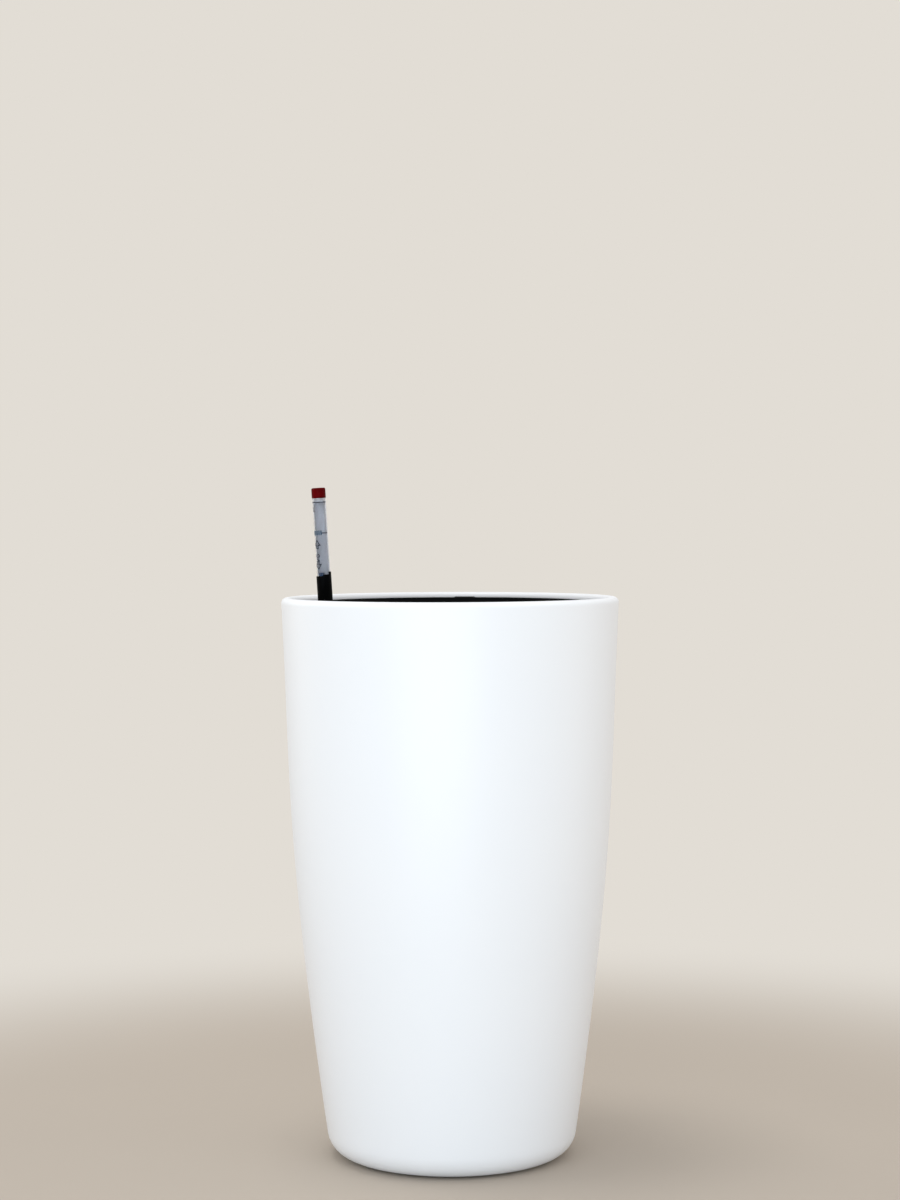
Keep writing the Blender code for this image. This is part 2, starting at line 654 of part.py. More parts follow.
def main():
    clear_scene()
    build_shell()
    build_pads()
    build_liner()
    build_handle("back_handle", 0.0)
    build_handle("front_handle", math.pi)
    build_separator()
    build_soil_cones()
    place = (gauge_x(GAUGE_FOOT_Z), 0.0, GAUGE_FOOT_Z)
    axis = add_empty("gauge_axis", place, rotation_y=-LEAN)
    build_filling_shaft(axis)
    build_gauge_guide(axis)
    build_gauge_tubes(axis)
    build_gauge_ends(axis)
    build_float(axis)
    build_drain_plug("base_plug", SHELL_POCKET_Z)
    build_drain_plug("liner_plug", LINER_POCKET_Z)


main()
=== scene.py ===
"""Looks of the tall self-watering planter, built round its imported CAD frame.

Every CAD node is replaced by a finer piece on the same body: round stretches are truly round, edges are
rounded, and each material is procedural. Sizes are in metres and come from the frame where it holds them.
"""

import json
import math

import bmesh
import bpy
from mathutils import Matrix, Vector


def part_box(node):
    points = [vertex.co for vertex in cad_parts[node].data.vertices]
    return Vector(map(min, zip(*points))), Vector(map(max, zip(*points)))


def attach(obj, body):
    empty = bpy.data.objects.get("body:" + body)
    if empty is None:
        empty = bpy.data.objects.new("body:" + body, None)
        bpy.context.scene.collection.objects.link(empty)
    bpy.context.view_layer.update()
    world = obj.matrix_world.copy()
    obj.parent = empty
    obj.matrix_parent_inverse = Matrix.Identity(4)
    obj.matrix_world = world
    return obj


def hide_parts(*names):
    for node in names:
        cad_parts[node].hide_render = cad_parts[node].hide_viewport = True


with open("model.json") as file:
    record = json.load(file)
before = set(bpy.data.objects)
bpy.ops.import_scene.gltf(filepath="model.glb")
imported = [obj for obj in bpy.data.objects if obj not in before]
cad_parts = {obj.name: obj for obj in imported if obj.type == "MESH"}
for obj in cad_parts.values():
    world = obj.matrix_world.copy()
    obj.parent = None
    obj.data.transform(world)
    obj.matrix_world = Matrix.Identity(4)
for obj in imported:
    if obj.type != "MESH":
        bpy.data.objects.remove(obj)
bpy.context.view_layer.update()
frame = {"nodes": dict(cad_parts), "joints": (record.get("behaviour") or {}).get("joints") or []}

STUDIO_AZIMUTH = math.radians(6)  # where the camera stands, from -Y towards +X
GAP = 0.0003


def reach(node, axis=Matrix.Identity(4)):
    """The largest distance of a CAD node's points from an axis."""
    points = (axis.inverted() @ vertex.co for vertex in frame["nodes"][node].data.vertices)
    return max(math.hypot(point.x, point.y) for point in points)


def span(node, axis=Matrix.Identity(4)):
    """The lowest and highest point of a CAD node along an axis."""
    heights = [(axis.inverted() @ vertex.co).z for vertex in frame["nodes"][node].data.vertices]
    return min(heights), max(heights)


def joint(name):
    """The frame's joint of that name."""
    return next(item for item in frame["joints"] if item["name"] == name)


# The shell's and liner's main dimensions, read from the frame, and their wall and bead sizes.
HEIGHT = span("outer_shell")[1]
RIM_RADIUS = reach("outer_shell")
FOOT_RADIUS = 0.1113  # where the side's arc would meet the floor
FOOT_FILLET = 0.0235
BULGE = 0.0081  # how far the side stands outside a straight taper, at mid height
SWAY = 0.00095  # how far the side then swells at mid height and draws in under the rim
SHELL_WALL = 0.0035
LIP_RADIUS = RIM_RADIUS - 0.010
LEDGE_Z = HEIGHT - 0.0128
LEDGE_RADIUS = 0.139
FOOT_Z = 0.001
RECESS_RADIUS = 0.074
RECESS_Z = 0.005
PAD_COUNT = 6

GAUGE_AXIS = Vector(joint("gauge_lift")["axis"]).normalized()
LEAN = math.asin(-GAUGE_AXIS.x)
FLANGE_Z = HEIGHT - 0.0095
FLANGE_RADIUS = reach("liner")
OUTER_BEAD_Z = HEIGHT - 0.0055
MOUTH_BEAD_Z = HEIGHT - 0.0044
MOUTH_RADIUS = 0.128
LINER_WALL = 0.0025
LINER_BASE_Z = span("liner")[0]
LINER_FLOOR_Z = LINER_BASE_Z + 0.003
PLATE_BOTTOM, PLATE_TOP = span("separator_plate")
SHELF_Z = PLATE_BOTTOM - GAP
SHELF_WIDTH = 0.003

DRAIN_HOLE = 0.011
DRAIN_POCKET = 0.017
DRAIN_BOSS = 0.0205
DRAIN_DEPTH = 0.009
SHELL_POCKET_Z = 0.008
LINER_POCKET_Z = LINER_BASE_Z + 0.006
HEAD_RADIUS = 0.0150
HEAD_DROP = (0.0055, 0.0025)  # from the pocket's ceiling to the head's two faces
COIN_SLOT = (0.0105, 0.0012, 0.0020)  # half length, half width, depth
THREAD_PITCH = 0.003
SEAL_RADIUS = 0.0126
SEAL_SECTION = 0.00095

# Fins under the liner's flange.
FIN_COUNT = 24
FIN_HEIGHT = 0.026
FIN_REACH = 0.1374
FIN_WIDTH = 0.0016

# Lifting handles, each on its own hinge line.
HINGE = Vector(joint("back_handle_fold")["pos_m"])
HINGE.x = 0.0
HANDLE_INNER = 0.1335
HANDLE_OUTER = 0.1390
HANDLE_HEIGHT = 0.0034
PIN_RADIUS = 0.0010
BARREL_RADIUS = 0.0020
BARREL_ENDS = (0.0914, 0.1003)
ARM_ENDS = (0.0914, 0.0955)
EAR_SPANS = ((0.0882, 0.0910), (0.1007, 0.1040))
EAR_REACH = 0.0020
BAR_START = 0.0032
TAB_HALF_WIDTH = 0.0105
TAB_SPAN = (0.1305, 0.1400)
TAB_RISE = 0.0018
RIDGE_COUNT = 4
RIDGE_PITCH = 0.0016
RIDGE_HEIGHT = 0.0003
RIDGE_HALF_WIDTH = 0.0003
RIDGE_HALF_LENGTH = TAB_HALF_WIDTH - 0.0013

# Separator, soil cones and filling shaft.
CONE_ORBIT = 0.062
CONE_RADIUS = 0.0245
CONE_FLANGE = 0.0290
CONE_COUNT = 3
CONE_SLOTS = 6
RING_SLOTS = 24
RING_SLOT_ORBIT = 0.100
ROW_SLOTS = ((0.030, 0.0), (0.052, 0.0), (0.074, 0.15), (0.074, -0.15))  # orbit, and angle from the row
SLOT_HALF_LENGTH = 0.006
SLOT_HALF_WIDTH = 0.002
STRAIGHT = 0.011  # half the length of the shaft's flat sides
SHAFT_RADIUS = 0.0097
SPIGOT_RADIUS = 0.0087
SHAFT_WALL = 0.0013
SHAFT_MOUTH_Z = HEIGHT - 0.014
HOOK_THICKNESS = 0.0009
HOOK_HALF_WIDTH = 0.0035

# Gauge, on its leaning axis.
GAUGE_RIM_X = -0.1157
GAUGE_FOOT_Z = 0.198
GAUGE_PLACE = Matrix.Translation(
    (GAUGE_RIM_X + (HEIGHT - GAUGE_FOOT_Z) * math.tan(LEAN), 0.0, GAUGE_FOOT_Z)
) @ Matrix.Rotation(-LEAN, 4, "Y")
SLEEVE_TOP_Z = HEIGHT + 0.0206
SLEEVE_RADIUS = 0.0069
SLEEVE_BORE = 0.0056
SOCKET_BORE = 0.0065
SOCKET_DEPTH = 0.014
NOTCH_DEPTH = 0.0013
CATCH_SPAN = (math.radians(52), math.radians(128))
CATCH_HEIGHT = 0.0024
FOOT_FLANGE = 0.003
TUBE_RADIUS = 0.0062
TUBE_BORE = 0.0057
CARD_OUTER = 0.0054
CARD_INNER = 0.0050
CARD_START = math.radians(-10)
CAP_RADIUS = 0.0065
STEM_RADIUS = 0.0030
FLOAT_RADIUS = 0.0050
ROD_RADIUS = 0.0012
ROD_OFFSET = -0.0020
POINTER_RADIUS = 0.0046
POINTER_RISE = 0.0006  # how much further the pointer shows above the sleeve than the CAD's

# Marks on the clear tube: print, and one dark ring that is painted shade. Their heights are above the rim.
MARK_LOW = TUBE_RADIUS + 0.00001
MARK_HIGH = TUBE_RADIUS + 0.00004
COLUMN_ANGLE = math.radians(-35)
# painted shade: a dark ring round the tube that stands for the shadow in the gap between the stopper's end
# and the card's top edge
SHADE_RING_Z = 0.0871
TICK_Z = 0.0588
BARS = (0.0569, 0.0612)
BAR_COUNT = 6
BAR_PITCH = 0.0019
FIRST_BAR = -0.0048  # across, from the column's middle
UP_ARROW_TIP = 0.0522
DROP_Z = 0.0385
DOWN_ARROW_TIP = 0.0256
CORNER_MARK = ((-0.0026, 0.0830), (-0.0026, 0.0793), (0.0002, 0.0793))
BENT_STROKE = ((-0.0010, 0.0351), (0.0012, 0.0338), (0.0012, 0.0326))

# Camera and studio colours.
CAMERA_DISTANCE = 2.36
CAMERA_HEIGHT = 0.588
CAMERA_PITCH = 0.0330
CAMERA_ROLL = math.radians(-0.2)
CAMERA_LENS = 77.22
LIGHTS_AIM = Vector((0.0, 0.0, 0.3))
WALL_COLOUR = (0.761, 0.723, 0.665)
FLOOR_COLOUR = (0.50, 0.445, 0.385)
FLOOR_FADE = (0.42, 1.25)  # between these distances the floor takes the wall's colour
EVEN_LIGHT = (0.80, 0.80, 0.80)

# Turns for flat outlines: UPRIGHT stands one in the XZ plane, SIDEWAYS in the YZ plane.
UPRIGHT = Matrix.Rotation(math.pi / 2, 4, "X")
SIDEWAYS = Matrix.Rotation(math.pi / 2, 4, "Z") @ UPRIGHT


# ------------------------ mesh tools


def finish_piece(name, bm, body, material, nodes=(), sharp=30, place=None):
    """Links a bmesh as a visible piece that rides on a body and stands for the CAD nodes it replaces."""
    bmesh.ops.remove_doubles(bm, verts=bm.verts, dist=1e-7)
    bmesh.ops.recalc_face_normals(bm, faces=bm.faces)
    mesh = bpy.data.meshes.new(name)
    bm.to_mesh(mesh)
    bm.free()
    mesh.shade_smooth()
    mesh.set_sharp_from_angle(angle=math.radians(sharp))
    obj = bpy.data.objects.new(name, mesh)
    bpy.context.scene.collection.objects.link(obj)
    if place is not None:
        obj.matrix_world = place
    mesh.materials.append(material)
    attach(obj, body)
    if nodes:
        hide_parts(*nodes)
    shading = obj.modifiers.new("even_shading", "WEIGHTED_NORMAL")
    shading.keep_sharp = True
    shading.weight = 100
    return obj


def tool_object(bm):
    """A short-lived object that holds a bmesh for a Boolean."""
    mesh = bpy.data.meshes.new("tool")
    bmesh.ops.recalc_face_normals(bm, faces=bm.faces)
    bm.to_mesh(mesh)
    bm.free()
    obj = bpy.data.objects.new("tool", mesh)
    bpy.context.scene.collection.objects.link(obj)
    return obj


def boolean(bm, tool, operation="DIFFERENCE"):
    """The Boolean of two closed bmeshes, as a new bmesh."""
    base, other = tool_object(bm), tool_object(tool)
    modifier = base.modifiers.new("boolean", "BOOLEAN")
    modifier.operation = operation
    modifier.object = other
    modifier.solver = "EXACT"
    result = bmesh.new()
    result.from_object(base, bpy.context.evaluated_depsgraph_get())
    for obj in (base, other):
        mesh = obj.data
        bpy.data.objects.remove(obj)
        bpy.data.meshes.remove(mesh)
    return result


def rounded(corners, steps=6):
    """An outline from corners (r, z) or (r, z, fillet), with each fillet as an arc."""
    outline = []
    for i, corner in enumerate(corners):
        here = Vector(corner[:2])
        if len(corner) == 2:
            outline.append(tuple(here))
            continue
        fillet = corner[2]
        before = (Vector(corners[i - 1][:2]) - here).normalized()
        after = (Vector(corners[(i + 1) % len(corners)][:2]) - here).normalized()
        half = before.angle(after) / 2
        centre = here + (before + after).normalized() * fillet / math.sin(half)
        start = here + before * fillet / math.tan(half) - centre
        end = here + after * fillet / math.tan(half) - centre
        clockwise = start.angle_signed(end)
        for step in range(steps + 1):
            spoke = Matrix.Rotation(-clockwise * step / steps, 2) @ start
            outline.append(tuple(centre + spoke))
    return outline


def turned(outline, segments=96, straight=0.0):
    """A bmesh of (r, z) points spun about Z, closed or starting and ending on the axis.
    With straight, the two halves are moved apart along Y."""
    bm = bmesh.new()
    first = math.pi / segments
    verts = [bm.verts.new((r * math.cos(first), r * math.sin(first), z)) for r, z in outline]
    on_axis = outline[0][0] == 0.0
    following = verts[1:] if on_axis else verts[1:] + verts[:1]
    edges = [bm.edges.new(pair) for pair in zip(verts, following)]
    bmesh.ops.spin(bm, geom=verts + edges, cent=(0, 0, 0), axis=(0, 0, 1), angle=math.tau, steps=segments)
    if straight:
        for vertex in bm.verts:
            vertex.co.y += math.copysign(straight, vertex.co.y)
    bmesh.ops.remove_doubles(bm, verts=bm.verts, dist=1e-7)
    bmesh.ops.recalc_face_normals(bm, faces=bm.faces)
    return bm


def arc(radius, first, last, steps):
    """Points (x, y) on an arc round the origin."""
    angles = (first + (last - first) * i / steps for i in range(steps + 1))
    return [(radius * math.cos(angle), radius * math.sin(angle)) for angle in angles]


def prism(outline, bottom, top, place=Matrix.Identity(4)):
    """A bmesh of a flat outline of (x, y) points, raised from bottom to top, then placed."""
    bm = bmesh.new()
    face = bm.faces.new([bm.verts.new((x, y, bottom)) for x, y in outline])
    raised = bmesh.ops.extrude_face_region(bm, geom=[face])["geom"]
    lifted = [item for item in raised if isinstance(item, bmesh.types.BMVert)]
    bmesh.ops.translate(bm, verts=lifted, vec=(0, 0, top - bottom))
    bmesh.ops.transform(bm, matrix=place, verts=bm.verts)
    bmesh.ops.recalc_face_normals(bm, faces=bm.faces)
    return bm


def merged(*meshes):
    """One bmesh that holds several."""
    result = bmesh.new()
    for bm in meshes:
        mesh = bpy.data.meshes.new("part")
        bm.to_mesh(mesh)
        bm.free()
        result.from_mesh(mesh)
        bpy.data.meshes.remove(mesh)
    return result


def skinned(rings, closed=False):
    """A bmesh through rings of points, capped at both ends unless it closes on itself."""
    bm = bmesh.new()
    rings = [[bm.verts.new(point) for point in ring] for ring in rings]
    for ring, after in zip(rings, rings[1:] + (rings[:1] if closed else [])):
        for i in range(len(ring)):
            j = (i + 1) % len(ring)
            bm.faces.new((ring[i], ring[j], after[j], after[i]))
    if not closed:
        bm.faces.new(rings[0][::-1])
        bm.faces.new(rings[-1])
    bmesh.ops.recalc_face_normals(bm, faces=bm.faces)
    return bm


def box(low, high, place=Matrix.Identity(4)):
    """A bmesh of a block between two corners, then placed."""
    outline = [(low[0], low[1]), (high[0], low[1]), (high[0], high[1]), (low[0], high[1])]
    return prism(outline, low[2], high[2], place)


def softened(bm, width, segments=2, angle=40):
    """Rounds the edges of a bmesh that are sharper than an angle."""
    limit = math.radians(angle)
    edges = [edge for edge in bm.edges if edge.is_manifold and edge.calc_face_angle(0.0) > limit]
    bmesh.ops.bevel(
        bm, geom=edges, offset=width, segments=segments, affect="EDGES", profile=0.5, clamp_overlap=True
    )
    return bm


def rod(start, end, radius, segments=32, rounding=0.0):
    """A bmesh of a cylinder between two points, with its ends' edges rounded."""
    start, end = Vector(start), Vector(end)
    length = (end - start).length
    fillet = (rounding,) if rounding else ()
    corners = [(0.0, 0.0), (radius, 0.0, *fillet), (radius, length, *fillet), (0.0, length)]
    bm = turned(rounded(corners, 4), segments)
    facing = (end - start).to_track_quat("Z", "Y").to_matrix().to_4x4()
    bmesh.ops.transform(bm, matrix=Matrix.Translation(start) @ facing, verts=bm.verts)
    return bm


def stadium(half_length, half_width, steps=8):
    """A flat outline along X with round ends."""
    end = arc(half_width, -math.pi / 2, math.pi / 2, steps)
    straight = half_length - half_width
    return [(side * (straight + x), side * y) for side in (1, -1) for x, y in end]


def turn_z(angle):
    """A turn about Z."""
    return Matrix.Rotation(angle, 4, "Z")


def ring_places(count, orbit):
    """Places spaced evenly round Z."""
    angles = (math.tau * i / count for i in range(count))
    return [Vector((orbit * math.cos(a), orbit * math.sin(a), 0.0)) for a in angles]


# ------------------------ materials


class Surface:
    """A Principled material with its noise-driven colour, roughness and bump."""

    def __init__(self, name, colour, roughness, specular=0.5, metallic=0.0):
        self.material = bpy.data.materials.new(name)
        self.material.use_nodes = True
        self.tree = self.material.node_tree
        self.shader = self.tree.nodes["Principled BSDF"]
        self.set("Base Color", (*colour, 1.0))
        self.set("Roughness", roughness)
        self.set("Specular IOR Level", specular)
        self.set("Metallic", metallic)
        self.colour = colour
        self.roughness = roughness
        self.place = self.tree.nodes.new("ShaderNodeTexCoord").outputs["Object"]
        self.normal = None

    def set(self, socket, value):
        self.shader.inputs[socket].default_value = value

    def link(self, source, target):
        self.tree.links.new(source, target)

    def noise(self, scale, detail, stretch):
        mapping = self.tree.nodes.new("ShaderNodeMapping")
        mapping.inputs["Scale"].default_value = stretch
        self.link(self.place, mapping.inputs["Vector"])
        node = self.tree.nodes.new("ShaderNodeTexNoise")
        node.inputs["Scale"].default_value = scale
        node.inputs["Detail"].default_value = detail
        self.link(mapping.outputs["Vector"], node.inputs["Vector"])
        return node.outputs["Fac"]

    def ranged(self, source, low, high, start=0.3, end=0.7):
        node = self.tree.nodes.new("ShaderNodeMapRange")
        node.inputs["From Min"].default_value = start
        node.inputs["From Max"].default_value = end
        node.inputs["To Min"].default_value = low
        node.inputs["To Max"].default_value = high
        self.link(source, node.inputs["Value"])
        return node.outputs["Result"]

    def mottle(self, scale, other, stretch=(1, 1, 1)):
        """Varies the colour between the base colour and another."""
        mix = self.tree.nodes.new("ShaderNodeMix")
        mix.data_type = "RGBA"
        mix.inputs["A"].default_value = (*self.colour, 1.0)
        mix.inputs["B"].default_value = (*other, 1.0)
        source = self.noise(scale, 4.0, stretch)
        self.link(self.ranged(source, 0.0, 1.0), mix.inputs["Factor"])
        self.link(mix.outputs["Result"], self.shader.inputs["Base Color"])
        return self

    def vary_gloss(self, scale, spread, stretch=(1, 1, 1)):
        source = self.noise(scale, 4.0, stretch)
        low, high = self.roughness - spread, self.roughness + spread
        self.link(self.ranged(source, low, high), self.shader.inputs["Roughness"])
        return self

    def bump(self, scale, depth, strength, stretch=(1, 1, 1)):
        """Adds a fine relief, depth metres high."""
        node = self.tree.nodes.new("ShaderNodeBump")
        node.inputs["Strength"].default_value = strength
        node.inputs["Distance"].default_value = depth
        self.link(self.noise(scale, 2.0, stretch), node.inputs["Height"])
        if self.normal:
            self.link(self.normal, node.inputs["Normal"])
        self.normal = node.outputs["Normal"]
        self.link(self.normal, self.shader.inputs["Normal"])
        return self


def make_materials():
    """The finish of each of the record's slots."""
    along_axis = (1, 1, 0.04)
    white = Surface("satin_white", (0.86, 0.875, 0.90), 0.40, 0.42)
    white.mottle(5.0, (0.845, 0.865, 0.895)).vary_gloss(9.0, 0.035)
    white.bump(420.0, 0.00003, 0.35).bump(60.0, 0.00008, 0.25)
    black = Surface("moulded_black", (0.0030, 0.0030, 0.0033), 0.50, 0.07)
    black.mottle(30.0, (0.0055, 0.0055, 0.0058)).vary_gloss(40.0, 0.06)
    black.bump(1300.0, 0.00006, 0.6).bump(90.0, 0.00008, 0.3)
    tube_black = Surface("extruded_black", (0.0012, 0.0012, 0.0014), 0.45, 0.02)
    tube_black.mottle(90.0, (0.0026, 0.0026, 0.0028), along_axis).vary_gloss(120.0, 0.06, along_axis)
    tube_black.bump(900.0, 0.00004, 0.5, along_axis)
    clear = Surface("clear_plastic", (0.80, 0.81, 0.83), 0.04, 0.3)
    clear.set("Transmission Weight", 1.0)
    clear.set("IOR", 1.3)
    clear.vary_gloss(160.0, 0.02, along_axis).bump(500.0, 0.00001, 0.3, along_axis)
    card = Surface("gauge_card", (0.77, 0.78, 0.82), 0.55, 0.3)
    card.mottle(220.0, (0.70, 0.71, 0.76), along_axis).vary_gloss(300.0, 0.05)
    card.bump(2400.0, 0.00001, 0.6)
    red = Surface("cap_red", (0.115, 0.0003, 0.0012), 0.50, 0.03)
    red.mottle(260.0, (0.075, 0.0002, 0.0010)).vary_gloss(300.0, 0.06).bump(1500.0, 0.00003, 0.5)
    stopper = Surface("natural_stopper", (0.86, 0.86, 0.88), 0.45, 0.3)
    stopper.mottle(260.0, (0.78, 0.78, 0.81)).vary_gloss(300.0, 0.06).bump(1500.0, 0.00002, 0.5)
    blue = Surface("pointer_blue", (0.010, 0.085, 0.235), 0.35, 0.4)
    blue.mottle(300.0, (0.006, 0.060, 0.185)).vary_gloss(300.0, 0.05).bump(1600.0, 0.00002, 0.5)
    foam = Surface("float_foam", (0.80, 0.80, 0.77), 0.80, 0.3)
    foam.mottle(700.0, (0.70, 0.70, 0.67)).vary_gloss(500.0, 0.05).bump(2600.0, 0.00010, 0.8)
    rubber = Surface("rubber", (0.020, 0.020, 0.021), 0.78, 0.3)
    rubber.mottle(200.0, (0.032, 0.032, 0.033)).vary_gloss(300.0, 0.08).bump(2200.0, 0.00008, 0.7)
    steel = Surface("pin_steel", (0.56, 0.56, 0.57), 0.26, 0.5, 1.0)
    steel.mottle(600.0, (0.46, 0.46, 0.47)).vary_gloss(900.0, 0.06).bump(3000.0, 0.00001, 0.6)
    # The dark ink also draws the ring of painted shade under the stopper.
    ink_and_painted_shade = Surface("print_ink_and_painted_shade", (0.020, 0.024, 0.040), 0.5, 0.2)
    ink_and_painted_shade.mottle(1500.0, (0.045, 0.050, 0.075)).vary_gloss(900.0, 0.05).bump(3000.0, 0.000005, 0.5)
    blue_ink = Surface("print_blue_ink", (0.022, 0.065, 0.115), 0.5, 0.2)
    blue_ink.mottle(1500.0, (0.045, 0.095, 0.150)).vary_gloss(900.0, 0.05).bump(3000.0, 0.000005, 0.5)
    return {
        "shell_plastic": white.material,
        "liner_plastic": black.material,
        "gauge_black": tube_black.material,
        "clear_plastic": clear.material,
        "card_print": card.material,
        "cap_red": red.material,
        "stopper_plastic": stopper.material,
        "pointer_blue": blue.material,
        "float_foam": foam.material,
        "rubber": rubber.material,
        "pin_steel": steel.material,
        "ink_and_painted_shade": ink_and_painted_shade.material,
        "blue_ink": blue_ink.material,
    }


# ------------------------ shell


def barrel_radius(z, inset=0.0):
    """The shell's radius at height z, on an arc from foot to rim with a slight sway, less an inset."""
    foot, rim = Vector((FOOT_RADIUS, 0.0)), Vector((RIM_RADIUS, HEIGHT))
    chord = rim - foot
    radius = chord.length_squared / (8 * BULGE) + BULGE / 2
    outward = Vector((chord.y, -chord.x)).normalized()
    centre = (foot + rim) / 2 - outward * (radius - BULGE)
    sway = SWAY * math.sin(math.tau * (z / HEIGHT) ** 2)
    return centre.x + math.sqrt(radius**2 - (z - centre.y) ** 2) + sway - inset


def barrel_points(first, last, count, inset=0.0):
    """Points (r, z) of the shell's side between two heights."""
    heights = [first + (last - first) * i / (count - 1) for i in range(count)]
    return [(barrel_radius(z, inset), z) for z in heights]


def drain_underside(pocket_z, base_z):
    """The underside of a floor, from the drain hole out to the pocket's edge."""
    return [
        (DRAIN_HOLE, pocket_z, 0.0003),
        (DRAIN_POCKET, pocket_z, 0.0004),
        (DRAIN_POCKET, base_z, 0.0005),
    ]


def drain_boss(pocket_z, floor_z):
    """The top of a floor, from the boss in to the drain hole."""
    top = pocket_z + DRAIN_DEPTH
    return [(DRAIN_BOSS, floor_z, 0.0015), (DRAIN_BOSS, top, 0.0008), (DRAIN_HOLE, top, 0.0005)]


def build_shell(materials):
    """The outer pot, with its rim rolled in to a ledge, and a shallow recess underneath."""
    step_radius = RECESS_RADIUS + SHELL_WALL
    step_z = RECESS_Z + SHELL_WALL + 0.0005
    corners = drain_underside(SHELL_POCKET_Z, RECESS_Z) + [
        (RECESS_RADIUS, RECESS_Z, 0.0010),
        (RECESS_RADIUS, FOOT_Z, 0.0005),
        (barrel_radius(FOOT_Z), FOOT_Z, FOOT_FILLET),
        *barrel_points(FOOT_FILLET + 0.003, HEIGHT - 0.008, 34),
        (RIM_RADIUS, HEIGHT, 0.0050),
        (LIP_RADIUS, HEIGHT, 0.0046),
        (LIP_RADIUS, LEDGE_Z, 0.0008),
        (LEDGE_RADIUS, LEDGE_Z, 0.0008),
        (LEDGE_RADIUS, LEDGE_Z - SHELL_WALL, 0.0008),
        (LIP_RADIUS + SHELL_WALL, LEDGE_Z - SHELL_WALL, 0.0012),
        (LIP_RADIUS + SHELL_WALL, HEIGHT - SHELL_WALL, 0.0012),
        (RIM_RADIUS - SHELL_WALL, HEIGHT - SHELL_WALL, 0.0015),
        *barrel_points(HEIGHT - 0.02, FOOT_FILLET + 0.005, 20, SHELL_WALL),
        (barrel_radius(RECESS_Z, SHELL_WALL), RECESS_Z, FOOT_FILLET - SHELL_WALL),
        (step_radius, RECESS_Z, 0.0008),
        (step_radius, step_z, 0.0015),
        *drain_boss(SHELL_POCKET_Z, step_z),
    ]
    bm = turned(rounded(corners, 8), 192)
    pockets = []
    for number in range(1, PAD_COUNT + 1):
        low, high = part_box(f"foot_pad_{number}")
        middle = (low + high) / 2
        start, end = (middle.x, middle.y, 0.0), (middle.x, middle.y, high.z + GAP)
        pockets.append(rod(start, end, (high.y - low.y) / 2 + GAP, 40))
    bm = boolean(bm, merged(*pockets))
    finish_piece(
        "planter_shell", bm, "planter", materials["shell_plastic"], ["outer_shell"],
        sharp=50,
    )


def build_pads(materials):
    """The rubber pads under the foot, each in its pocket."""
    for number in range(1, PAD_COUNT + 1):
        node = f"foot_pad_{number}"
        low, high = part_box(node)
        middle = (low + high) / 2
        radius = (high.y - low.y) / 2
        corners = [
            (0.0, low.z),
            (radius, low.z, 0.0005),
            (radius, high.z, 0.0003),
            (0.0, high.z),
        ]
        bm = turned(rounded(corners, 4), 40)
        place = Matrix.Translation((middle.x, middle.y, 0.0))
        finish_piece(
            f"rubber_pad_{number}", bm, "planter", materials["rubber"], [node], place=place
        )


# ------------------------ liner and handles


def liner_radius(z):
    """The inner radius of the liner's leaning wall at height z, above the shelf."""
    return MOUTH_RADIUS - (FLANGE_Z - z) * math.tan(LEAN)


def flange_fins():
    """Fins that stiffen the flange, on the outside of the liner's wall."""
    top = LEDGE_Z + GAP + 0.0004
    foot = top - FIN_HEIGHT
    outline = [
        (liner_radius(top) + LINER_WALL / 2, top),
        (FIN_REACH, top),
        (FIN_REACH, top - 0.002),
        (liner_radius(foot) + LINER_WALL + 0.0003, foot),
        (liner_radius(foot) + LINER_WALL / 2, foot),
    ]
    turns = [turn_z(math.tau * (i + 0.5) / FIN_COUNT) for i in range(FIN_COUNT)]
    return merged(*(prism(outline, -FIN_WIDTH / 2, FIN_WIDTH / 2, turn @ UPRIGHT) for turn in turns))


def hinge_ears():
    """The ears that the handles' pins sit in, with round tops, and the holes through them."""
    crown = OUTER_BEAD_Z + 0.0005 - HINGE.z
    foot = FLANGE_Z - 0.0008 - HINGE.z
    outline = [(x, crown - EAR_REACH + y) for x, y in arc(EAR_REACH, 0.0, math.pi, 12)]
    outline += [(-EAR_REACH, foot), (EAR_REACH, foot)]
    ears, holes = [], []
    for side_x in (1, -1):
        for side_y in (1, -1):
            middle = Matrix.Translation((0, side_y * HINGE.y, HINGE.z))
            for near, far in EAR_SPANS:
                low, high = sorted((side_x * near, side_x * far))
                ears.append(softened(prism(outline, low, high, middle @ SIDEWAYS), 0.0003, 2, 50))
            start = middle @ Vector((side_x * (EAR_SPANS[0][0] - 0.001), 0, 0))
            end = middle @ Vector((side_x * (EAR_SPANS[1][1] - 0.001), 0, 0))
            holes.append(rod(start, end, PIN_RADIUS + GAP, 24))
    return merged(*ears), merged(*holes)


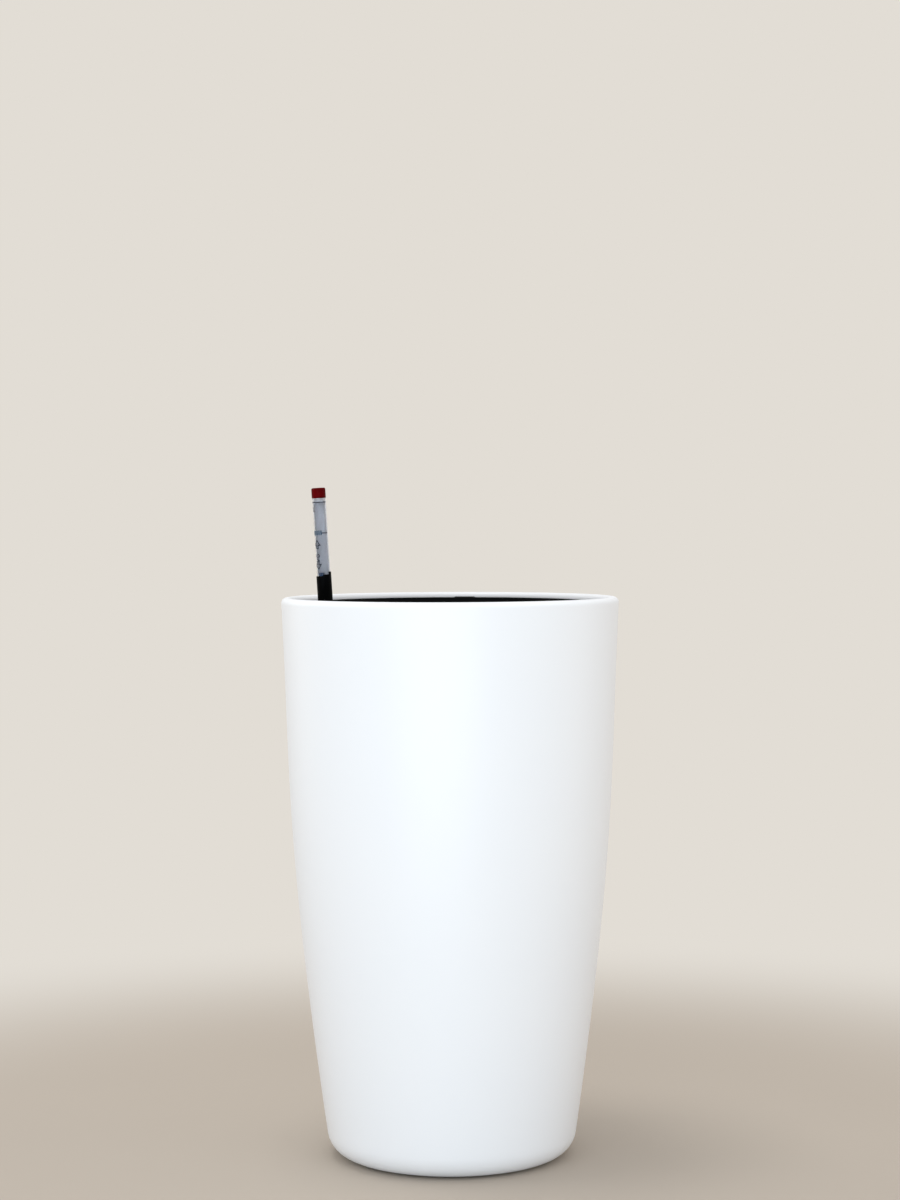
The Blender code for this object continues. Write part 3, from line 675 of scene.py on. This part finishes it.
def build_liner(materials):
    """The lift-out pot with its flange, fins, hinge ears and drain."""
    shoulder_z = SHELF_Z - LINER_WALL
    under_flange = LEDGE_Z + GAP
    step = LINER_WALL - SHELF_WIDTH
    mouth_outside = MOUTH_RADIUS + 0.0018
    corners = drain_underside(LINER_POCKET_Z, LINER_BASE_Z) + [
        (liner_radius(LINER_BASE_Z) + step, LINER_BASE_Z, 0.0040),
        (liner_radius(shoulder_z) + step, shoulder_z, 0.0012),
        (liner_radius(shoulder_z) + LINER_WALL, shoulder_z, 0.0012),
        (liner_radius(under_flange) + LINER_WALL, under_flange, 0.0015),
        (FLANGE_RADIUS, under_flange, 0.0005),
        (FLANGE_RADIUS, OUTER_BEAD_Z, 0.0009),
        (FLANGE_RADIUS - 0.002, OUTER_BEAD_Z, 0.0009),
        (FLANGE_RADIUS - 0.002, FLANGE_Z, 0.0005),
        (mouth_outside, FLANGE_Z, 0.0005),
        (mouth_outside, MOUTH_BEAD_Z, 0.0008),
        (MOUTH_RADIUS, MOUTH_BEAD_Z, 0.0008),
        (liner_radius(SHELF_Z), SHELF_Z, 0.0003),
        (liner_radius(SHELF_Z) - SHELF_WIDTH, SHELF_Z, 0.0008),
        (liner_radius(LINER_FLOOR_Z) - SHELF_WIDTH, LINER_FLOOR_Z, 0.0030),
        *drain_boss(LINER_POCKET_Z, LINER_FLOOR_Z),
    ]
    bm = turned(rounded(corners), 192)
    ears, holes = hinge_ears()
    bm = boolean(bm, flange_fins(), "UNION")
    bm = boolean(bm, ears, "UNION")
    bm = boolean(bm, holes)
    finish_piece(
        "planting_liner", bm, "liner", materials["liner_plastic"], ["liner"], sharp=40
    )


def build_handle(name, turn, materials):
    """A bail with a ridged thumb tab, built on its hinge line for +Y and turned about Z, with its pins."""
    place = turn_z(turn) @ Matrix.Translation((0, HINGE.y, HINGE.z))
    bottom = FLANGE_Z + GAP - HINGE.z
    top = bottom + HANDLE_HEIGHT
    edge = []
    for radius, order in ((HANDLE_OUTER, 1), (HANDLE_INNER, -1)):
        first = math.asin((HINGE.y + BAR_START) / radius)
        edge += arc(radius, first, math.pi - first, 72)[::order]
    bm = softened(prism([(x, y - HINGE.y) for x, y in edge], bottom, top), 0.0009, 3)
    near, far = BARREL_ENDS
    bores = []
    for side in (1, -1):
        left, right = sorted(side * x for x in ARM_ENDS)
        arm = softened(box((left, 0, bottom), (right, BAR_START + 0.0020, top)), 0.0005)
        barrel = rod((side * near, 0, 0), (side * far, 0, 0), BARREL_RADIUS, 40, 0.0004)
        bm = boolean(boolean(bm, arm, "UNION"), barrel, "UNION")
        bore_start, bore_end = (side * (near - 0.002), 0, 0), (side * (far + 0.002), 0, 0)
        bores.append(rod(bore_start, bore_end, PIN_RADIUS + GAP, 24))
    tab_near, tab_far = (y - HINGE.y for y in TAB_SPAN)
    tab_top = top + TAB_RISE - RIDGE_HEIGHT
    low, high = (-TAB_HALF_WIDTH, tab_near, top - 0.0015), (TAB_HALF_WIDTH, tab_far, tab_top)
    bm = boolean(bm, softened(box(low, high), 0.0009, 3), "UNION")
    ridges = []
    for number in range(RIDGE_COUNT):
        middle = (tab_near + tab_far) / 2 + (number - (RIDGE_COUNT - 1) / 2) * RIDGE_PITCH
        low = (-RIDGE_HALF_LENGTH, middle - RIDGE_HALF_WIDTH, tab_top - 0.0004)
        high = (RIDGE_HALF_LENGTH, middle + RIDGE_HALF_WIDTH, tab_top + RIDGE_HEIGHT)
        ridges.append(softened(box(low, high), 0.00018))
    bm = boolean(bm, merged(*ridges), "UNION")
    bm = boolean(bm, merged(*bores))
    material = materials["liner_plastic"]
    finish_piece(f"{name}_bail", bm, name, material, [name], sharp=40, place=place)
    inner_end, outer_end = EAR_SPANS[0][0] + GAP, EAR_SPANS[1][1] - 0.001 - GAP
    for side, word in ((1, "right"), (-1, "left")):
        pin = rod((side * inner_end, 0, 0), (side * outer_end, 0, 0), PIN_RADIUS, 32, 0.0003)
        finish_piece(
            f"{name}_hinge_pin_{word}", pin, name, materials["pin_steel"],
            [f"{name}_pin_{word}"], place=place,
        )


# ------------------------ separator, cones and shaft


def lipped_hole(outline, bottom, top, lip, place=Matrix.Identity(4)):
    """A cutter whose hole has rounded lips at both faces. outline(grow) gives its (x, y) points."""
    quarter = [math.pi / 2 * i / 3 for i in range(4)]
    lower = [(lip - lip * math.sin(a), bottom + lip - lip * math.cos(a)) for a in quarter]
    upper = [(grow, top - (z - bottom)) for grow, z in reversed(lower)]
    layers = [(lip, bottom - 0.001), *lower, *upper, (lip, top + 0.001)]
    bm = skinned([(x, y, z) for x, y in outline(grow)] for grow, z in layers)
    bmesh.ops.transform(bm, matrix=place, verts=bm.verts)
    return bm


def drain_slots():
    """(orbit, angle) of each slot in the separator: a ring near its edge, then rows between the cones."""
    clear_of_shaft = math.radians(20)
    ring = [(RING_SLOT_ORBIT, math.tau * (i + 0.5) / RING_SLOTS) for i in range(RING_SLOTS)]
    ring = [slot for slot in ring if abs(slot[1] - math.pi) > clear_of_shaft]
    rows = [
        (orbit, math.tau * (cone + 0.5) / CONE_COUNT + spread)
        for cone in range(CONE_COUNT)
        for orbit, spread in ROW_SLOTS
    ]
    return ring + rows


def build_separator(materials):
    """The plate with its drain slots, and its holes for the cones and the shaft's spigot."""

    def cone_hole(grow):
        return [place.xy for place in ring_places(72, CONE_RADIUS + 0.0006 + grow)]

    def slot(grow):
        return stadium(SLOT_HALF_LENGTH + grow, SLOT_HALF_WIDTH + grow, 10)

    def spigot_hole(grow):
        socket = SPIGOT_RADIUS + 0.0004 + grow
        return stadium(STRAIGHT + socket, socket, 24)

    radius = reach("separator_plate")
    corners = [
        (0.0, PLATE_BOTTOM),
        (radius, PLATE_BOTTOM, 0.0006),
        (radius, PLATE_TOP, 0.0006),
        (0.0, PLATE_TOP),
    ]
    bm = turned(rounded(corners), 128)
    holes = []
    for place in ring_places(CONE_COUNT, CONE_ORBIT):
        holes.append(lipped_hole(cone_hole, PLATE_BOTTOM, PLATE_TOP, 0.0004, Matrix.Translation(place)))
    for orbit, angle in drain_slots():
        place = turn_z(angle) @ Matrix.Translation((orbit, 0, 0))
        holes.append(lipped_hole(slot, PLATE_BOTTOM, PLATE_TOP, 0.0006, place))
    crossing = Matrix.Translation((gauge_x((PLATE_BOTTOM + PLATE_TOP) / 2), 0, 0)) @ turn_z(math.pi / 2)
    holes.append(lipped_hole(spigot_hole, PLATE_BOTTOM, PLATE_TOP, 0.0004, crossing))
    bm = boolean(bm, merged(*holes))
    finish_piece(
        "slotted_plate", bm, "separator", materials["liner_plastic"],
        ["separator_plate"], sharp=40,
    )


def build_soil_cones(materials):
    """Slotted feet that hold a column of soil down in the water."""
    seat = PLATE_TOP + GAP
    foot = LINER_FLOOR_Z + 0.002
    corners = [
        (0.0, foot),
        (0.0150, foot, 0.0015),
        (CONE_RADIUS, seat - 0.004, 0.0040),
        (CONE_RADIUS, seat, 0.0004),
        (CONE_FLANGE, seat, 0.0005),
        (CONE_FLANGE, seat + 0.002, 0.0008),
        (CONE_RADIUS - 0.002, seat + 0.002, 0.0015),
        (0.0130, foot + 0.002, 0.0015),
        (0.0, foot + 0.002),
    ]
    slot_low, slot_high = foot + 0.008, seat - 0.016
    half_length = (slot_high - slot_low) / 2
    for number, place in enumerate(ring_places(CONE_COUNT, CONE_ORBIT), 1):
        slots = []
        for side in range(CONE_SLOTS):
            across = turn_z(math.tau * side / CONE_SLOTS)
            across = across @ Matrix.Translation((0, 0, slot_low + half_length))
            across = across @ Matrix.Rotation(math.pi / 2, 4, "Y")
            slots.append(prism(stadium(half_length, 0.0015), 0.010, 0.030, across))
        bm = boolean(turned(rounded(corners), 96), merged(*slots))
        finish_piece(
            f"wicking_cone_{number}", bm, "separator", materials["liner_plastic"],
            [f"soil_cone_{number}"], sharp=40, place=Matrix.Translation(place),
        )


def gauge_x(z):
    """Where the leaning axis of the shaft and gauge passes at height z."""
    return GAUGE_RIM_X + (HEIGHT - z) * math.tan(LEAN)


def along(z):
    """How far along the leaning axis from the gauge's foot the height z is."""
    return (z - GAUGE_FOOT_Z) / math.cos(LEAN)


def build_filling_shaft(materials):
    """The oval tube that water is poured down, with the spigot that stands in the plate."""
    shoulder = along(PLATE_TOP + GAP + SHAFT_RADIUS * math.sin(LEAN))
    end, mouth = span("filling_shaft", GAUGE_PLACE)
    corners = [
        (SPIGOT_RADIUS, end, 0.0004),
        (SPIGOT_RADIUS, shoulder, 0.0003),
        (SHAFT_RADIUS, shoulder, 0.0005),
        (SHAFT_RADIUS, mouth, 0.0006),
        (SHAFT_RADIUS - SHAFT_WALL, mouth, 0.0006),
        (SHAFT_RADIUS - SHAFT_WALL, shoulder + 0.003, 0.0015),
        (SPIGOT_RADIUS - SHAFT_WALL, shoulder + 0.002, 0.0010),
        (SPIGOT_RADIUS - SHAFT_WALL, end, 0.0004),
    ]
    finish_piece(
        "watering_shaft", turned(rounded(corners), 96, STRAIGHT), "separator",
        materials["liner_plastic"], ["filling_shaft"], sharp=40, place=GAUGE_PLACE,
    )


# ------------------------ gauge


def build_gauge_guide(materials):
    """The ring in the shaft's mouth that the gauge slides through, hooked over both flat walls."""
    mouth = along(SHAFT_MOUTH_Z)
    bore = SLEEVE_RADIUS + GAP
    outside = SHAFT_RADIUS - SHAFT_WALL - GAP
    top = mouth + 0.002
    corners = [
        (bore, mouth - 0.008, 0.0003),
        (outside, mouth - 0.008, 0.0003),
        (outside, top, 0.0003),
        (bore, top, 0.0004),
    ]
    bm = turned(rounded(corners), 96)
    hook_in = SHAFT_RADIUS + GAP
    hook_out = hook_in + HOOK_THICKNESS
    for side in (1, -1):
        near, far = sorted((side * (outside - 0.0003), side * hook_out))
        low, high = (near, -HOOK_HALF_WIDTH, mouth + GAP), (far, HOOK_HALF_WIDTH, top - 0.0004)
        bridge = softened(box(low, high), 0.0002)
        near, far = sorted((side * hook_in, side * hook_out))
        low, high = (near, -HOOK_HALF_WIDTH, mouth - 0.004), (far, HOOK_HALF_WIDTH, mouth + 0.001)
        lip = softened(box(low, high), 0.0002)
        bm = boolean(boolean(bm, bridge, "UNION"), lip, "UNION")
    finish_piece(
        "guide_ring", bm, "separator", materials["gauge_black"], ["gauge_guide"],
        sharp=40, place=GAUGE_PLACE,
    )


def curved_block(inner, outer, angles, bottom, top, steps=12):
    """A closed block between two radii, two angles from -Y towards +X, and two heights."""
    first, last = (angle - math.pi / 2 for angle in angles)
    return prism(arc(outer, first, last, steps) + arc(inner, last, first, steps), bottom, top)


def build_sleeve(materials):
    """The black lower tube, with its water slots, the step in its top edge and the small catch on it."""
    low, top = FOOT_FLANGE + GAP, along(SLEEVE_TOP_Z)
    socket = top - SOCKET_DEPTH
    corners = [
        (SLEEVE_BORE, low, 0.0003),
        (SLEEVE_RADIUS, low, 0.0005),
        (SLEEVE_RADIUS, top, 0.00018),
        (SOCKET_BORE, top, 0.00018),
        (SOCKET_BORE, socket, 0.0002),
        (SLEEVE_BORE, socket, 0.0003),
    ]
    bm = turned(rounded(corners, 4), 96)
    across = Matrix.Translation((0, 0, 0.026)) @ Matrix.Rotation(math.pi / 2, 4, "Y")
    bm = boolean(bm, prism(stadium(0.010, 0.0015), -0.010, 0.010, across))
    bm = boolean(bm, box((-0.010, -0.010, top - NOTCH_DEPTH), (0.0003, 0.010, top + 0.002)))
    catch = curved_block(SOCKET_BORE, SLEEVE_RADIUS, CATCH_SPAN, top - 0.001, top + CATCH_HEIGHT)
    bm = boolean(bm, catch, "UNION")
    finish_piece(
        "gauge_lower_tube", bm, "gauge", materials["gauge_black"], ["gauge_sleeve"],
        sharp=40, place=GAUGE_PLACE,
    )


def build_tube(materials):
    """The clear tube and the printed card that wraps the back half of its inside."""
    bottom, top = span("gauge_tube", GAUGE_PLACE)
    corners = [
        (TUBE_BORE, bottom, 0.0002),
        (TUBE_RADIUS, bottom, 0.0002),
        (TUBE_RADIUS, top, 0.0002),
        (TUBE_BORE, top, 0.0002),
    ]
    finish_piece(
        "sight_tube", turned(rounded(corners, 4), 128), "gauge",
        materials["clear_plastic"], ["gauge_tube"], place=GAUGE_PLACE,
    )
    low, high = span("scale_card", GAUGE_PLACE)
    around = (math.pi / 2 + CARD_START, 3 * math.pi / 2 - CARD_START)
    card = softened(curved_block(CARD_INNER, CARD_OUTER, around, low, high, 64), 0.00008, 1)
    finish_piece(
        "wrapped_card", card, "gauge", materials["card_print"], ["scale_card"],
        place=GAUGE_PLACE,
    )


def wrapped(points, width, closed=False, pitch=0.0004):
    """A thin raised line round the clear tube. Points are (across, height above the rim), in metres
    from the column's middle, and every stretch is split so that it follows the curve."""
    ends = [Vector(point) for point in points]
    if closed:
        ends.append(ends[0])
    path = []
    for start, end in zip(ends, ends[1:]):
        pieces = max(1, math.ceil((end - start).length / pitch))
        path += [start.lerp(end, i / pieces) for i in range(pieces)]
    if not closed:
        path.append(ends[-1])
    rings = []
    last = len(path) - 1
    for i, point in enumerate(path):
        before = path[i - 1] if i or closed else point
        after = path[(i + 1) % len(path)] if i < last or closed else point
        run_in = (point - before).normalized() if point != before else (after - point).normalized()
        run_out = (after - point).normalized() if point != after else run_in
        ahead = (run_in + run_out).normalized()
        across = Vector((-ahead.y, ahead.x)) * width / 2 / max(0.5, ahead.dot(run_out))
        ring = []
        for edge, radius in ((1, MARK_LOW), (1, MARK_HIGH), (-1, MARK_HIGH), (-1, MARK_LOW)):
            spot = point + across * edge
            angle = COLUMN_ANGLE + spot.x / TUBE_RADIUS - math.pi / 2
            ring.append((radius * math.cos(angle), radius * math.sin(angle), along(HEIGHT + spot.y)))
        rings.append(ring)
    return skinned(rings, closed)


def arrow(tip, direction, head=0.0046, width=0.0058, stem=0.0020, tail=0.0030):
    """The outline of an arrow with its tip at a height, pointing up (1) or down (-1)."""
    shape = [
        (0, 0),
        (width / 2, head),
        (stem / 2, head),
        (stem / 2, head + tail),
        (-stem / 2, head + tail),
        (-stem / 2, head),
        (-width / 2, head),
    ]
    return [(x, tip - direction * y) for x, y in shape]


def drop(middle, width, height, steps=20):
    """The outline of a water drop round a height."""
    radius = width / 2
    base = middle - height / 2 + radius
    sides = [math.radians(150) - math.radians(300) * i / steps for i in range(steps + 1)]
    round_part = [(radius * math.sin(a), base - radius * math.cos(a)) for a in sides]
    return round_part + [(0.0, middle + height / 2)]


def build_prints(materials):
    """The marks on the clear tube: lines, bars, arrows and a water drop printed in two inks, with no
    words, and a dark ring of painted shade for the gap under the stopper.
    """
    half_turn = math.pi * TUBE_RADIUS
    arrow_line, fine, bold = 0.0010, 0.0007, 0.0009
    low, high = BARS
    dark = [
        # The first mark, the full ring, is painted shade: the shadow of the gap under the stopper, drawn
        # in the dark ink.
        wrapped([(half_turn * i / 30, SHADE_RING_Z) for i in range(-30, 31)], bold),
        wrapped(CORNER_MARK, fine),
        wrapped([(0.0053, TICK_Z), (0.0116, TICK_Z)], bold),
        wrapped(arrow(UP_ARROW_TIP, 1), arrow_line, closed=True),
        wrapped(drop(DROP_Z, 0.0034, 0.0046), bold, closed=True),
        wrapped(BENT_STROKE, arrow_line),
        wrapped(arrow(DOWN_ARROW_TIP, -1), arrow_line, closed=True),
    ]
    places = [FIRST_BAR + BAR_PITCH * i for i in range(BAR_COUNT)]
    blue = [wrapped([(place, low), (place, high)], 0.0012) for place in places]
    for name, marks, material in (("scale_marks_and_shade_ring", dark, "ink_and_painted_shade"), ("level_bars", blue, "blue_ink")):
        finish_piece(
            name, merged(*marks), "gauge", materials[material], sharp=60, place=GAUGE_PLACE
        )


def build_gauge_ends(materials):
    """The plug in the gauge's foot, and the cap with the stopper that it carries."""
    plug = SLEEVE_BORE - GAP
    corners = [
        (0.0, 0.0),
        (SLEEVE_RADIUS, 0.0, 0.0010),
        (SLEEVE_RADIUS, FOOT_FLANGE, 0.0003),
        (plug, FOOT_FLANGE, 0.0003),
        (plug, FOOT_FLANGE + 0.008, 0.0008),
        (0.0, FOOT_FLANGE + 0.008),
    ]
    finish_piece(
        "foot_plug", turned(rounded(corners), 96), "gauge", materials["gauge_black"],
        ["gauge_foot"], place=GAUGE_PLACE,
    )
    shoulder, top = span("gauge_cap", GAUGE_PLACE)
    bottom, stem_top = span("cap_stopper", GAUGE_PLACE)
    corners = [
        (0.0, bottom),
        (TUBE_BORE - GAP, bottom, 0.0004),
        (TUBE_BORE - GAP, shoulder - GAP, 0.0002),
        (STEM_RADIUS, shoulder - GAP, 0.0002),
        (STEM_RADIUS, stem_top, 0.0003),
        (0.0, stem_top),
    ]
    finish_piece(
        "pale_stopper", turned(rounded(corners), 96), "cap",
        materials["stopper_plastic"], ["cap_stopper"], place=GAUGE_PLACE,
    )
    corners = [
        (0.0, stem_top + GAP),
        (STEM_RADIUS + GAP, stem_top + GAP, 0.0002),
        (STEM_RADIUS + GAP, shoulder, 0.0002),
        (CAP_RADIUS, shoulder, 0.0004),
        (CAP_RADIUS, top, 0.0014),
        (0.0, top),
    ]
    finish_piece(
        "red_cap", turned(rounded(corners), 96), "cap", materials["cap_red"], ["gauge_cap"],
        place=GAUGE_PLACE,
    )


def build_float(materials):
    """The foam float, and the rod that carries the half-round pointer up into the clear tube."""
    low, high = span("float", GAUGE_PLACE)
    corners = [(0.0, low), (FLOAT_RADIUS, low, 0.0012), (FLOAT_RADIUS, high, 0.0012), (0.0, high)]
    finish_piece(
        "foam_float", turned(rounded(corners), 72), "float", materials["float_foam"],
        ["float"], place=GAUGE_PLACE,
    )
    low, high = span("float_rod", GAUGE_PLACE)
    stem = rod((ROD_OFFSET, 0, low), (ROD_OFFSET, 0, high), ROD_RADIUS, 32, 0.0003)
    finish_piece(
        "pointer_rod", stem, "float", materials["float_foam"], ["float_rod"],
        place=GAUGE_PLACE,
    )
    low, high = span("level_pointer", GAUGE_PLACE)
    half_round = arc(POINTER_RADIUS, math.pi / 2, 3 * math.pi / 2, 40)
    pointer = softened(prism(half_round, low, high + POINTER_RISE), 0.0004)
    finish_piece(
        "blue_pointer", pointer, "float", materials["pointer_blue"],
        ["level_pointer"], place=GAUGE_PLACE,
    )


# ------------------------ drain plugs


def thread(root, crest, pitch, bottom, top, steps=48):
    """A helical ridge that fades in and out over a quarter turn at its ends."""
    turns = (top - bottom) / pitch
    count = round(turns * steps)
    rings = []
    for i in range(count + 1):
        angle, z = math.tau * i / steps, bottom + pitch * i / steps
        fade = min(1.0, 4 * i / steps, 4 * (count - i) / steps)
        radius = root + (crest - root) * fade
        inside = root - 0.0004
        section = ((inside, -0.3), (radius, -0.12), (radius, 0.12), (inside, 0.3))
        rings.append(
            [(r * math.cos(angle), r * math.sin(angle), z + pitch * dz) for r, dz in section]
        )
    return skinned(rings)


def build_drain_plug(node, pocket_z, materials):
    """A screw plug with a coin slot and a thread, and the O-ring under its head."""
    head_low, head_high = (pocket_z - below for below in HEAD_DROP)
    half_length, half_width, depth = COIN_SLOT

    def slot(grow):
        return stadium(half_length + grow, half_width + grow)

    shank, top = DRAIN_HOLE - 0.0007, pocket_z + 0.008
    corners = [
        (0.0, head_low),
        (HEAD_RADIUS, head_low, 0.0008),
        (HEAD_RADIUS, head_high, 0.0004),
        (shank, head_high, 0.0004),
        (shank, top, 0.0010),
        (0.0, top),
    ]
    bm = turned(rounded(corners), 96)
    ridge = thread(shank, DRAIN_HOLE - 0.00025, THREAD_PITCH, head_high + 0.0016, top - 0.0012)
    bm = boolean(bm, ridge, "UNION")
    bm = boolean(bm, lipped_hole(slot, head_low, head_low + depth, 0.0003))
    finish_piece(
        f"{node}_screw", bm, node, materials["liner_plastic"], [node], sharp=40
    )
    middle = (pocket_z + head_high) / 2
    section = [(SEAL_RADIUS + x, middle + y) for x, y in arc(SEAL_SECTION, 0.0, math.tau, 24)[:-1]]
    finish_piece(
        f"{node}_o_ring", turned(section), node.replace("plug", "seal"),
        materials["rubber"], [f"{node}_seal"], sharp=60,
    )


# ------------------------ studio


def make_camera():
    """A long lens a little above the rim, turned slightly round from the front."""
    data = bpy.data.cameras.new("camera")
    camera = bpy.data.objects.new("camera", data)
    bpy.context.scene.collection.objects.link(camera)
    sideways, forward = math.sin(STUDIO_AZIMUTH), math.cos(STUDIO_AZIMUTH)
    camera.location = (CAMERA_DISTANCE * sideways, -CAMERA_DISTANCE * forward, CAMERA_HEIGHT)
    level = turn_z(STUDIO_AZIMUTH) @ Matrix.Rotation(math.pi / 2 - CAMERA_PITCH, 4, "X")
    camera.rotation_euler = (level @ turn_z(CAMERA_ROLL)).to_euler()
    data.sensor_fit = "VERTICAL"
    data.sensor_height = 36.0
    data.lens = CAMERA_LENS
    data.clip_end = 100.0
    bpy.context.scene.camera = camera


def area_light(name, azimuth, elevation, distance, size, power, colour):
    """A large soft panel that faces the middle of the planter."""
    data = bpy.data.lights.new(name, "AREA")
    data.shape = "RECTANGLE"
    data.size, data.size_y = size
    data.energy = power
    data.color = colour
    light = bpy.data.objects.new(name, data)
    light.visible_camera = False
    bpy.context.scene.collection.objects.link(light)
    turn, rise = math.radians(azimuth), math.radians(elevation)
    out = Vector((math.sin(turn) * math.cos(rise), -math.cos(turn) * math.cos(rise), math.sin(rise)))
    light.location = LIGHTS_AIM + out * distance
    light.rotation_euler = (-out).to_track_quat("-Z", "Y").to_euler()


def make_world():
    """A pale wall colour behind everything, and a neutral even light on the object."""
    world = bpy.data.worlds.new("studio")
    bpy.context.scene.world = world
    world.use_nodes = True
    tree = world.node_tree
    seen = tree.nodes["Background"]
    seen.inputs["Color"].default_value = (*WALL_COLOUR, 1.0)
    even = tree.nodes.new("ShaderNodeBackground")
    even.inputs["Color"].default_value = (*EVEN_LIGHT, 1.0)
    path = tree.nodes.new("ShaderNodeLightPath")
    mix = tree.nodes.new("ShaderNodeMixShader")
    tree.links.new(path.outputs["Is Camera Ray"], mix.inputs["Fac"])
    tree.links.new(even.outputs["Background"], mix.inputs[1])
    tree.links.new(seen.outputs["Background"], mix.inputs[2])
    tree.links.new(mix.outputs["Shader"], tree.nodes["World Output"].inputs["Surface"])


def make_floor():
    """A plain floor that is matte near the planter and takes the wall's colour further out."""
    bm = bmesh.new()
    bmesh.ops.create_circle(bm, cap_ends=True, segments=96, radius=40.0)
    mesh = bpy.data.meshes.new("studio_floor")
    bm.to_mesh(mesh)
    bm.free()
    floor = bpy.data.objects.new("studio_floor", mesh)
    bpy.context.scene.collection.objects.link(floor)
    near = Surface("studio_floor", FLOOR_COLOUR, 0.85, 0.0)
    near.mottle(3.0, tuple(0.985 * part for part in FLOOR_COLOUR)).bump(220.0, 0.0002, 0.15)
    tree = near.tree
    distance = tree.nodes.new("ShaderNodeVectorMath")
    distance.operation = "LENGTH"
    tree.links.new(near.place, distance.inputs[0])
    far = tree.nodes.new("ShaderNodeEmission")
    far.inputs["Color"].default_value = (*WALL_COLOUR, 1.0)
    mix = tree.nodes.new("ShaderNodeMixShader")
    fade = near.ranged(distance.outputs["Value"], 0.0, 1.0, *FLOOR_FADE)
    fade.node.interpolation_type = "SMOOTHERSTEP"
    tree.links.new(fade, mix.inputs["Fac"])
    tree.links.new(near.shader.outputs["BSDF"], mix.inputs[1])
    tree.links.new(far.outputs["Emission"], mix.inputs[2])
    tree.links.new(mix.outputs["Shader"], tree.nodes["Material Output"].inputs["Surface"])
    mesh.materials.append(near.material)


def make_studio():
    make_camera()
    make_world()
    make_floor()
    area_light("key", -10, 10, 3.2, (3.0, 2.4), 6, (0.74, 0.88, 1.0))
    area_light("low", -1, -3.5, 2.9, (2.6, 0.22), 31, (0.74, 0.88, 1.0))
    area_light("brow", -10, 34, 3.0, (1.6, 0.8), 5, (0.90, 0.95, 1.0))
    area_light("overhead", -75, 81, 2.6, (0.8, 0.8), 19, (1.0, 0.98, 0.95))
    area_light("warm_side", 100, 9, 3.4, (1.6, 2.0), 9, (1.0, 0.87, 0.74))
    area_light("cream_side", -112, 8, 3.2, (1.4, 2.4), 11, (1.0, 0.97, 0.90))
    bpy.context.scene.view_settings.view_transform = "Standard"


def main():
    materials = make_materials()
    build_shell(materials)
    build_pads(materials)
    build_liner(materials)
    build_handle("back_handle", 0.0, materials)
    build_handle("front_handle", math.pi, materials)
    build_separator(materials)
    build_soil_cones(materials)
    build_filling_shaft(materials)
    build_gauge_guide(materials)
    build_sleeve(materials)
    build_tube(materials)
    build_prints(materials)
    build_gauge_ends(materials)
    build_float(materials)
    build_drain_plug("base_plug", SHELL_POCKET_Z, materials)
    build_drain_plug("liner_plug", LINER_POCKET_Z, materials)
    make_studio()


main()
